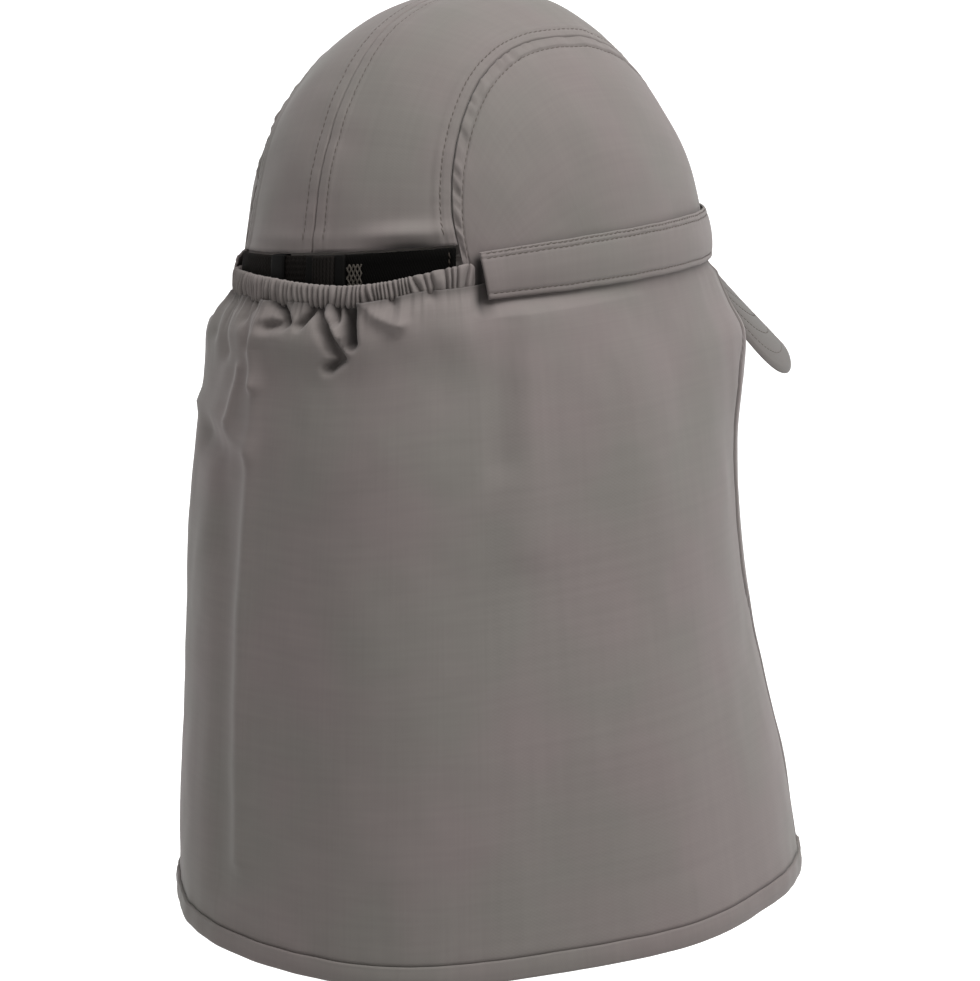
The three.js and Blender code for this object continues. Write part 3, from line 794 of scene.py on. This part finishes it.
# Folds as ridges and hollows that follow their lines, and the painted shade in a hollow
def foldsAt(angle, down):
    place = (angle * flap["degree"], down * flap["length"])
    rise = shade = 0
    for width, height, sharpness, path, (left, right), lowest in foldPaths:
        reach = width * flap["foldReach"]
        if left - reach < place[0] < right + reach and place[1] < lowest + reach:
            held = math.exp(-(nearLine(place, path) / width) ** sharpness)
            rise += height * held
            shade -= min(height + flap["shadeFrom"], 0) * held * flap["hollowShade"]
    return rise, shade


def foldRise(angle, down):
    return foldsAt(angle, down)[0]


def beyondGroove(angle, down):
    return (abs(angle) - readTable(flap["groove"], 1, down)) * flap["perDegree"]


# Painted shade on the cloth in its hollows, under the casing, behind the casing's ends and in the groove
def flapPaintedShade(angle, down):
    length = down * flap["length"]
    under = flap["underShade"] * math.exp(-(length / flap["underReach"]) ** 2)
    under *= ease(casing["endAngle"] - abs(angle), -1, 2)
    pocket = bump(abs(angle), flap["pocketAngle"], flap["pocketWidth"])
    pocket *= 1 - ease(length, *flap["pocketEnd"])
    groove = flap["grooveShade"] * bump(beyondGroove(angle, down), 0, flap["grooveWidth"])
    return clamp(foldsAt(angle, down)[1] + under + pocket + groove)


def flareAt(angle, down):
    away = abs(angle)
    sideways = ease(away, crown["openingAngle"], flap["sideAngle"])
    forwards = ease(away, flap["sideAngle"], flap["frontAngle"])
    back, side, front = (readTable(flap["stand"], column, down) for column in (1, 2, 3))
    below = ease(down, *flap["shoulderStart"]) * (1 - ease(down, *flap["shoulderEnd"]))
    shoulder = flap["shoulder"] * bump(angle, flap["shoulderAngle"], flap["shoulderWidth"]) * below
    frontward = bump(away, flap["frontShoulderAngle"], flap["frontShoulderWidth"])
    shoulder += flap["frontShoulder"] * frontward * below
    return flap["flare"] * mix(mix(back, side, sideways), front, forwards) + shoulder


# Small gathers hang from the casing's pleats and run out a finger's width below
def gatherRise(angle, down):
    length = down * flap["length"]
    inside = ease(casing["endAngle"] - abs(angle), 0, 5)
    reach = mix(*flap["gatherReach"], noise.noise(Vector((angle / 6, 0, 3))) + 0.5)
    fade = math.exp(-(length / reach) ** 2)
    return flap["gather"] * (pleatAt(angle, 0.9) - casing["pleatMiddle"]) * inside * fade


# Soft waves, small crumples and ripples, the turned front edge with its stitches, and the facing
def flapDetail(angle, down):
    run = angle * flap["perDegree"]
    length = down * flap["length"]
    free = ease(length, 4, 40)
    soft = noise.noise(Vector((run / flap["waveSize"], length / 90, 5)))
    soft += 0.45 * noise.noise(Vector((run / 21, length / 60, 15)))
    detail = flap["wave"] * soft * free
    top = math.exp(-length / 26) * ease(length, 1, 5)
    detail += flap["crumple"] * noise.noise(Vector((run / 7, length / 13, 25))) * top
    detail += flap["ripple"] * noise.noise(Vector((run / flap["rippleSize"], length / 14, 35))) * free
    fromHem = flap["length"] - length
    detail += flap["hemRipple"] * noise.noise(Vector((run / 8, 0, 45))) * math.exp(-(fromHem / 7) ** 2)
    fromFront = (flap["frontAngle"] - abs(angle)) * flap["perDegree"]
    detail += flap["edgeLift"] * (1 - ease(fromFront, flap["edgeHem"], flap["edgeHem"] + 0.9))
    detail -= 0.4 * bump(fromFront, flap["edgeHem"] - flap["edgeStitch"], 0.6)
    beyond = beyondGroove(angle, down)
    detail -= flap["grooveDepth"] * bump(beyond, 0, flap["grooveWidth"])
    detail += flap["facing"] * ease(beyond, 0, 0.8) * (1 - ease(beyond, *flap["facingEnd"]))
    return detail


def flapPoint(angle, down):
    away = abs(angle)
    underBand = ease(away, casing["endAngle"], band["backAngle"] + 3)
    top = mix(casingLow(angle) - flap["sewnGap"], flap["tuck"], underBand)
    height = mix(top, -flap["length"] * readTable(flap["hem"], 1, angle), down)
    free = ease(-height, band["drop"], band["drop"] + flap["freeLength"])
    loose = mix(1, free, ease(away, casing["endAngle"] - 2, casing["endAngle"] + 1.5))
    sewn = casingSeat(angle) + casingDepth(angle) * flap["sewnShare"]
    topSeat = mix(sewn, flap["seat"], ease(away, crown["openingAngle"], casing["endAngle"]))
    seat = mix(topSeat, flap["seatLow"], ease(down * loose * flap["length"], 0, flap["gatherLength"]))
    stand = flareAt(angle, down) + foldRise(angle, down) + gatherRise(angle, down) + flapDetail(angle, down)
    inward = -seat + flap["clear"]
    return wallPoint(angle, height, seat + max(stand * loose, inward) + flap["cloth"] / 2)


# Closer columns behind, where the folds are, and at the front edges
def columnAngle(share):
    middle = abs(share - 0.5) * 2
    denseBack, denseEdge = (0.5, casing["endAngle"]), (0.72, 116)
    if middle < denseBack[0]:
        away = denseBack[1] * middle / denseBack[0]
    elif middle < denseEdge[0]:
        away = mix(denseBack[1], denseEdge[1], (middle - denseBack[0]) / (denseEdge[0] - denseBack[0]))
    else:
        away = mix(denseEdge[1], flap["frontAngle"], (middle - denseEdge[0]) / (1 - denseEdge[0]))
    return math.copysign(away, share - 0.5)


# Closer rows in the gathered top
def rowDown(share):
    topShare, topDown = 0.42, 0.15
    if share < topShare:
        return topDown * share / topShare
    return mix(topDown, 1, (share - topShare) / (1 - topShare))


bm = gridMesh(366, 133, lambda u, v: flapPoint(columnAngle(u), rowDown(v)), (520, 235),
              lambda u, v: flapPaintedShade(columnAngle(u), rowDown(v)))
neckFlap = addPiece(bm, "neckFlap", [flapCloth], ["neck_flap"], flap["cloth"],
                    middle=Vector((0, 0, -120)))

# Bound hem: a folded strip over the sheet's lower edge
hem = {
    "height": 7.4, "overlap": 1.2, "thickness": 2.1, "stitchDown": 1.3, "pitch": 2.7, "pucker": 0.5,
    "perDegree": 2.1, "jointAngle": -42, "jointPerDegree": 1.5, "jointLean": 1.4, "jointLift": 0.4,
    "jointGroove": 0.5,
}


def sheetPoint(angle, down, lift):
    around = flapPoint(angle + 0.6, down) - flapPoint(angle - 0.6, down)
    along = flapPoint(angle, down + 0.002) - flapPoint(angle, down - 0.002)
    return flapPoint(angle, down) + along.cross(around).normalized() * (lift - flap["cloth"] / 2)


def hemPoint(angle, turn, swell=0.0):
    along = hem["height"] / 2 * (1 - math.cos(turn)) - hem["overlap"]
    run = angle * hem["perDegree"]
    outside = max(math.sin(turn), 0)
    pinch = 1 - 0.3 * bump(along + hem["overlap"], hem["stitchDown"], 0.7)
    thick = hem["thickness"] / 2 * abs(math.sin(turn)) ** 0.45 * math.copysign(1, math.sin(turn)) * pinch
    lean = noise.noise(Vector((run / 40, 0, 57))) * 2.5
    thick += hem["pucker"] * noise.noise(Vector(((run + along * lean) / 3.2, along / 7, 55))) * outside
    # the binding's two ends overlap in a slanting joint
    across = (angle - hem["jointAngle"]) * hem["jointPerDegree"] - along * hem["jointLean"]
    joint = hem["jointLift"] * ease(across, -0.3, 0.5) * (1 - ease(across, 0.5, 9))
    joint -= hem["jointGroove"] * bump(across, -0.6, 0.5)
    thick += joint * outside
    return sheetPoint(angle, 1 + along / flap["length"], thick + swell)


def hemGrid(u, v):
    return hemPoint(mix(-flap["frontAngle"], flap["frontAngle"], u), 2 * math.pi * v)


bm = gridMesh(520, 18, hemGrid, (560, 14))
closeSeams(bm)
hemStrip = addPiece(bm, "hemBinding", [hemCloth], ["hem_binding"], middle=Vector((0, 0, -240)))


def hemRow(share, aside):
    turn = math.acos(1 - 2 * (hem["stitchDown"] + aside) / hem["height"])
    return hemPoint(mix(-flap["frontAngle"], flap["frontAngle"], share), turn)


def edgeRow(side):
    def lineAt(share, aside):
        away = flap["frontAngle"] - (flap["edgeHem"] - flap["edgeStitch"] + aside) / flap["perDegree"]
        return flapPoint(side * away, mix(0.06, 0.995, share))
    return lineAt


bm = bmesh.new()
stitchRow(bm, hemRow, 0.002, 0.998, hem["pitch"])
for side in (1, -1):
    stitchRow(bm, edgeRow(side))
flapStitches = addPiece(bm, "flapStitches", [threadGrey, needleHoleShade], [])

# Peak: a stiff plate with a rolled edge and rows of stitches that follow it
peak = {
    "length": 67, "halfWidth": 63, "roundLength": 60, "slope": 0.475, "droop": 16.4, "thickness": 3,
    "rootAngle": 40, "cornerAngle": 114, "seatDrop": -0.6, "edgeRoll": 1.4,
    "rows": (0.93, 0.81, 0.69, 0.57, 0.45, 0.33), "rowDip": 0.3, "rowWidth": 0.008, "wave": 0.35,
    "cornerTaper": 0.012,
}


def rimFront(x):
    return -crown["halfLength"] * math.sqrt(1 - (x / crown["halfWidth"]) ** 2)


def peakPoint(across, outward, lift):
    root, corner = math.radians(across * peak["rootAngle"]), math.radians(across * peak["cornerAngle"])
    rootX = crown["halfWidth"] * math.sin(root)
    edgeX = peak["halfWidth"] * math.sin(corner)
    edgeY = -crown["halfLength"] - peak["length"] + peak["roundLength"] * (1 - math.cos(corner))
    x, y = mix(rootX, edgeX, outward), mix(rimFront(rootX), edgeY, outward)
    droop = peak["droop"] * outward * abs(x / peak["halfWidth"]) ** 3
    z = -crown["rimRise"] * rimFront(x) - peak["seatDrop"] - peak["slope"] * (rimFront(x) - y) - droop
    return Vector((x, y, z + lift))


def peakTop(across, outward):
    lift = peak["wave"] * noise.noise(Vector((across * 3, outward * 2, 61)))
    for row in peak["rows"]:
        lift -= peak["rowDip"] * bump(outward, row, peak["rowWidth"])
    return peakPoint(across, outward, lift)


# The section runs up the root, out along the top, round the edge and back underneath
def peakGrid(u, v):
    across = 2 * edgeDense(u, 0.4) - 1
    half = peak["thickness"] / 2 * math.sqrt(clamp((1 - abs(across)) / peak["cornerTaper"]))
    rootShare, topShare, edgeShare = 0.04, 0.56, 0.64
    if v < rootShare:
        return peakPoint(across, 0, -half + half * (2 * v / rootShare - 1))
    if v < topShare:
        outward = (v - rootShare) / (topShare - rootShare)
        return peakTop(across, outward) + Vector((0, 0, half - peak["thickness"] / 2))
    edge = peakPoint(across, 1, 0)
    inner = peakPoint(across, 0.97, 0)
    outwardWay = (edge - inner).normalized()
    if v < edgeShare:
        turn = math.pi * (v - topShare) / (edgeShare - topShare)
        roll = peakTop(across, 1) if v == topShare else edge
        roll = roll + outwardWay * peak["edgeRoll"] * math.sin(turn)
        return roll + Vector((0, 0, -half * (1 - math.cos(turn))))
    return peakPoint(across, (1 - v) / (1 - edgeShare), -2 * half)


bm = gridMesh(170, 110, peakGrid, (150, 150))
closeSeams(bm)
addPiece(bm, "peakPlate", [peakClothShaded], ["peak"], middle=Vector((0, -125, 0)))


def peakRow(outward):
    def lineAt(share, aside):
        return peakTop(mix(-0.97, 0.97, share), outward + aside / peak["length"])
    return lineAt


bm = bmesh.new()
for outward in peak["rows"]:
    stitchRow(bm, peakRow(outward), up=Vector((0, 0, 1)))
addPiece(bm, "peakStitches", [threadGrey, needleHoleShade], [])

# Adjusting strap: tab, slider with its bar, patterned webbing, keeper and ribbed elastic
strap = {
    "low": -0.7, "width": 18.6, "thickness": 1.5, "edgeRound": 0.7, "perDegree": 1.68, "endAngle": 37.2,
    "stitchAngle": -35.6, "tabEnd": -9, "patternStart": -1.8, "patternEnd": 13.5, "rib": 0.24,
    "ribPitch": 1.35, "patternRows": 9, "patternPitch": 1.3, "dash": 0.2, "row": 0.1,
}


def webbingFinish(name, colour, thread, gloss):
    bench = Bench(name)
    weave = bench.weave()
    across, along = bench.parts(weave)
    turn = math.pi / (thread * mm)
    threads = (across * turn).maths("SINE") * (along * (turn / 2)).maths("SINE")
    fuzz = bench.noise(weave, 900, 3)
    shade = bench.blend(threads * 0.4 + fuzz * 0.6, dimmed(colour, 0.6), srgb(*colour))
    height = threads * 0.6 + fuzz * 0.5
    return bench.finish(shade, fuzz * 0.25 + gloss, height, 0.12, 0.9, Specular_IOR_Level=0.06)


webBlack = webbingFinish("webBlack", (9, 8, 7), 0.55, 0.75)
elasticBlack = webbingFinish("elasticBlack", (31, 28, 26), 0.42, 0.7)


def plasticFinish(name, colour):
    bench = Bench(name)
    place = bench.node("ShaderNodeTexCoord", {}, {}, 3)
    grain = bench.noise(place, 1800, 2)
    wear = bench.noise(place, 120, 3)
    shade = bench.blend(wear, dimmed(colour, 0.7), srgb(*colour))
    return bench.finish(shade, wear * 0.2 + 0.55, grain, 0.05, 0.5, Specular_IOR_Level=0.08)


sliderPlastic = plasticFinish("sliderPlastic", (12, 11, 10))


def webPoint(angle, share, out):
    return wallPoint(angle, strap["low"] + strap["width"] * (1 - share), out)


# A flat length of webbing between two angles, with the relief of its weave
def webStrip(start, end, seat, relief, name, material, nodes, columns):
    def grid(u, v):
        angle = mix(start, end, u)
        fromEdge = min(v, 1 - v) * strap["width"]
        rounded = math.sqrt(max(1 - (1 - clamp(fromEdge / strap["edgeRound"])) ** 2, 0))
        out = seat + strap["thickness"] * mix(0.7, 1, rounded) + relief(angle, v)
        return webPoint(angle, v, out)
    length = abs(end - start) * strap["perDegree"]
    bm = gridMesh(columns, 40, grid, (length, strap["width"]))
    addPiece(bm, name, [material], nodes, strap["thickness"] * 0.7)


def ribs(angle, share):
    run = angle * strap["perDegree"]
    ridge = strap["rib"] * abs(math.cos(math.pi * run / strap["ribPitch"])) ** 0.6
    return ridge + 0.25 * noise.noise(Vector((run / 9, share * 2, 71)))


def pattern(angle, share):
    run = angle * strap["perDegree"]
    rows = math.cos(2 * math.pi * share * strap["patternRows"])
    dashes = math.cos(2 * math.pi * run / strap["patternPitch"] + math.pi * (rows > 0))
    return strap["dash"] * dashes * abs(rows) + strap["row"] * rows


def smoothTab(angle, share):
    run = angle * strap["perDegree"]
    fold = 0.35 * bump(angle, 0.6 - strap["endAngle"], 0.7) - 0.3 * bump(angle, strap["stitchAngle"], 0.35)
    return fold + 0.3 * noise.noise(Vector((run / 13, share * 1.5, 81))) + 0.3 * bump(share, 0.12, 0.1)


webStrip(-strap["endAngle"], strap["tabEnd"], 0, smoothTab, "strapTab", webBlack, ["strap_right"], 180)
webStrip(strap["patternEnd"], strap["endAngle"], 0, ribs, "strapRibbed", elasticBlack, ["strap_left"], 320)
webStrip(strap["patternStart"], strap["patternEnd"], 0, pattern, "strapPatterned", elasticBlack, [], 220)


# A rounded bar round the head between two angles, closed all round
def barMesh(start, end, low, high, seat, thickness, columns=24):
    def grid(u, v):
        turn = 2 * math.pi * v
        cosine, sine = math.cos(turn), math.sin(turn)
        across = math.copysign(abs(cosine) ** 0.5, cosine)
        depth = math.copysign(abs(sine) ** 0.5, sine)
        full = math.sqrt(clamp(min(u, 1 - u) / 0.06))
        height = mix(low, high, 0.5 + (across / 2) * mix(0.9, 1, full))
        return wallPoint(mix(start, end, u), height, seat + thickness / 2 * (1 + depth * mix(0.1, 1, full)))
    bm = gridMesh(columns, 28, grid, ((end - start) * strap["perDegree"], 2 * (high - low)))
    closeSeams(bm)
    return bm


def mergeInto(target, source):
    mesh = meshFrom(source, "part")
    target.from_mesh(mesh)
    bpy.data.meshes.remove(mesh)


# The slider: two upright bars joined by a rail above and below
slider = {
    "right": -10.4, "left": -1.8, "barWidth": 2.6, "seat": 1.2, "bar": 2.2, "rail": 1.9, "railHeight": 2,
    "railStart": 0.2, "railEnd": 1,
}
low, high = strap["low"], strap["low"] + strap["width"]
bm = bmesh.new()
for start in (slider["right"], slider["left"]):
    mergeInto(bm, barMesh(start, start + slider["barWidth"], low, high, slider["seat"], slider["bar"]))
start, end = slider["right"] + slider["railStart"], slider["left"] + slider["railEnd"]
for bottom, top in ((low, low + slider["railHeight"]), (high - slider["railHeight"], high)):
    mergeInto(bm, barMesh(start, end, bottom, top, slider["seat"], slider["rail"], 60))
addPiece(bm, "sliderFrame", [sliderPlastic], ["strap_slider"])

# The ribbed webbing turns back over the slider's middle
wrap = {"start": -7.7, "end": -1.1, "seat": 1, "rise": 1.5, "middle": -4.4, "half": 3.4, "ribPitch": 1.5}


def barWrap(angle, share):
    rise = wrap["rise"] * math.sqrt(max(1 - ((angle - wrap["middle"]) / wrap["half"]) ** 2, 0))
    ridge = abs(math.cos(math.pi * angle * strap["perDegree"] / wrap["ribPitch"])) ** 0.6
    return rise + strap["rib"] * 2 * ridge


webStrip(wrap["start"], wrap["end"], wrap["seat"], barWrap, "strapOverBar", elasticBlack, [], 200)

# The keeper: an outer and an inner plate joined by a short bar above and below
keeper = {
    "angle": 11.5, "half": 2.6, "below": 1.2, "above": 0.3, "outerSeat": 1.75, "outer": 1.1,
    "innerSeat": -1.2, "inner": 0.9, "barHeight": 0.9, "depth": 4,
}
bm = bmesh.new()
start, end = keeper["angle"] - keeper["half"], keeper["angle"] + keeper["half"]
bottom, top = low - keeper["below"], high + keeper["above"]
for seat, thickness in ((keeper["outerSeat"], keeper["outer"]), (keeper["innerSeat"], keeper["inner"])):
    mergeInto(bm, barMesh(start, end, bottom, top, seat, thickness))
for foot in (bottom, top - keeper["barHeight"]):
    mergeInto(bm, barMesh(start, end, foot, foot + keeper["barHeight"], keeper["innerSeat"], keeper["depth"]))
addPiece(bm, "strapKeeper", [sliderPlastic], ["strap_keeper"])

# An openwork patch beside the slider: a lattice of fine cords that lean both ways
patch = {
    "start": -14.6, "end": -10.6, "low": 2, "high": 14.3, "cells": 3, "crossed": 4, "spread": 1.25,
    "cord": 0.62, "steps": 24, "seat": 1.8, "weave": 0.12, "overlap": 1.15,
}


def cordPoints(cord, lean):
    points = []
    for step in range(patch["steps"] + 1):
        share = step / patch["steps"]
        crossed = patch["crossed"] * (share if lean > 0 else 1 - share)
        across = (cord + crossed) / patch["cells"] / patch["spread"]
        if -0.001 <= across <= 1.001:
            angle = mix(patch["start"], patch["end"], across)
            weave = patch["weave"] * math.sin(share * 24 + cord * 2) * lean
            points.append(wallPoint(angle, mix(patch["low"], patch["high"], share), patch["seat"] + weave))
    return points


radius = patch["cord"] / 2 * mm
bm = bmesh.new()
for lean in (1, -1):
    for cord in range(-patch["cells"], patch["cells"] + patch["crossed"] + 1):
        points = cordPoints(cord, lean)
        for before, after in zip(points, points[1:]):
            way = after - before
            turned = way.to_track_quat("Z", "Y").to_matrix().to_4x4()
            place = Matrix.Translation((before + after) / 2 * mm) @ turned
            bmesh.ops.create_cone(bm, segments=6, radius1=radius, radius2=radius, cap_ends=True,
                                  depth=way.length * patch["overlap"] * mm, matrix=place)
threadPale = threadFinish("threadPale", (74, 69, 63), 0.7)
addPiece(bm, "strapMesh", [threadPale], [])


def tabRow(angle):
    def lineAt(share, aside):
        out = strap["thickness"] + smoothTab(angle, share) + 0.1
        return webPoint(angle + aside / strap["perDegree"], mix(0.06, 0.94, share), out)
    return lineAt


bm = bmesh.new()
stitchRow(bm, tabRow(strap["stitchAngle"]), pitch=2.2, size=1.2)
addPiece(bm, "tabStitches", [threadBlack, needleHoleShade], [])

# Stage, lights and camera
studio = {
    "floorHeight": -0.3, "sweepBack": 1.6, "sweepHeight": 2.2, "sweepRound": 0.6, "halfWidth": 8, "front": -8,
    "azimuth": 216, "elevation": 3, "distance": 1.25, "lens": 122.5, "target": (0, 0, -0.0808),
    "shift": 0.004494, "world": 0.47, "paperGlow": 0.75, "glowFrom": 0.405, "glowTo": 0.423,
}
turn, tilt = math.radians(studio["azimuth"]), math.radians(studio["elevation"])
towards = Vector((math.sin(turn) * math.cos(tilt), -math.cos(turn) * math.cos(tilt), math.sin(tilt)))
rightward = Vector((math.cos(turn), math.sin(turn), 0))


def sweepPoint(u, v):
    aside = mix(-studio["halfWidth"], studio["halfWidth"], u)
    front, back, bend = studio["front"], studio["sweepBack"], studio["sweepRound"]
    flatShare, bendShare = 0.5, 0.8
    if v < flatShare:
        depth, height = mix(front, back, v / flatShare), 0
    elif v < bendShare:
        arc = math.pi / 2 * (v - flatShare) / (bendShare - flatShare)
        depth, height = back + bend * math.sin(arc), bend * (1 - math.cos(arc))
    else:
        depth, height = back + bend, mix(bend, studio["sweepHeight"], (v - bendShare) / (1 - bendShare))
    level = Vector((-towards.x, -towards.y, 0)).normalized()
    point = rightward * aside + level * depth + Vector((0, 0, studio["floorHeight"] + height))
    return point / mm


floorBench = Bench("floorPaper")
along = floorBench.parts(floorBench.weave())[1]
# the paper glows behind the cap only, so that the light under the hem stays soft
glow = floorBench.node("ShaderNodeMapRange", {}, {
    0: along, 1: studio["glowFrom"], 2: studio["glowTo"], 3: 0.0, 4: 1.0,
})
glowColour = floorBench.blend(glow, (0, 0, 0, 1), (1, 1, 1, 1))
paper = floorBench.noise(floorBench.node("ShaderNodeTexCoord", {}, {}, 3), 3)
paperShade = floorBench.blend(paper, (0.56, 0.56, 0.56, 1), (0.6, 0.6, 0.6, 1))
floorFinish = floorBench.finish(paperShade, 0.9, Specular_IOR_Level=0.1, Emission_Color=glowColour,
                                 Emission_Strength=studio["paperGlow"])
mesh = meshFrom(gridMesh(8, 60, sweepPoint, (1 / mm, 1 / mm)), "studioFloor")
mesh.materials.append(floorFinish)
floor = show("studioFloor", mesh)

target = Vector(studio["target"]) + rightward * studio["shift"]
cameraData = bpy.data.cameras.new("camera")
cameraData.lens = studio["lens"]
cameraData.sensor_width = 36
camera = show("camera", cameraData)
camera.location = target + towards * studio["distance"]
camera.rotation_euler = towards.to_track_quat("Z", "Y").to_euler()
bpy.context.scene.camera = camera

lights = [
    # name, place as right, towards the camera and up, size, power
    ("keyLight", (1.0, 0.7, 1.35), 1.1, 22),
    ("topLight", (0.2, 0.45, 1.6), 1.3, 22),
]
for name, (right, near, up), size, power in lights:
    data = bpy.data.lights.new(name, "AREA")
    data.shape = "DISK"
    data.size = size
    data.energy = power
    lamp = show(name, data)
    level = Vector((towards.x, towards.y, 0)).normalized()
    lamp.location = rightward * right + level * near + Vector((0, 0, up))
    lamp.rotation_euler = (lamp.location - Vector((0, 0, -0.05))).to_track_quat("Z", "Y").to_euler()
world = bpy.data.worlds.new("studioWorld")
world.use_nodes = True
background = world.node_tree.nodes["Background"]
background.inputs["Color"].default_value = (1, 1, 1, 1)
background.inputs["Strength"].default_value = studio["world"]
bpy.context.scene.world = world
bpy.context.scene.view_settings.view_transform = "Standard"
print("stage, lights and camera ready")
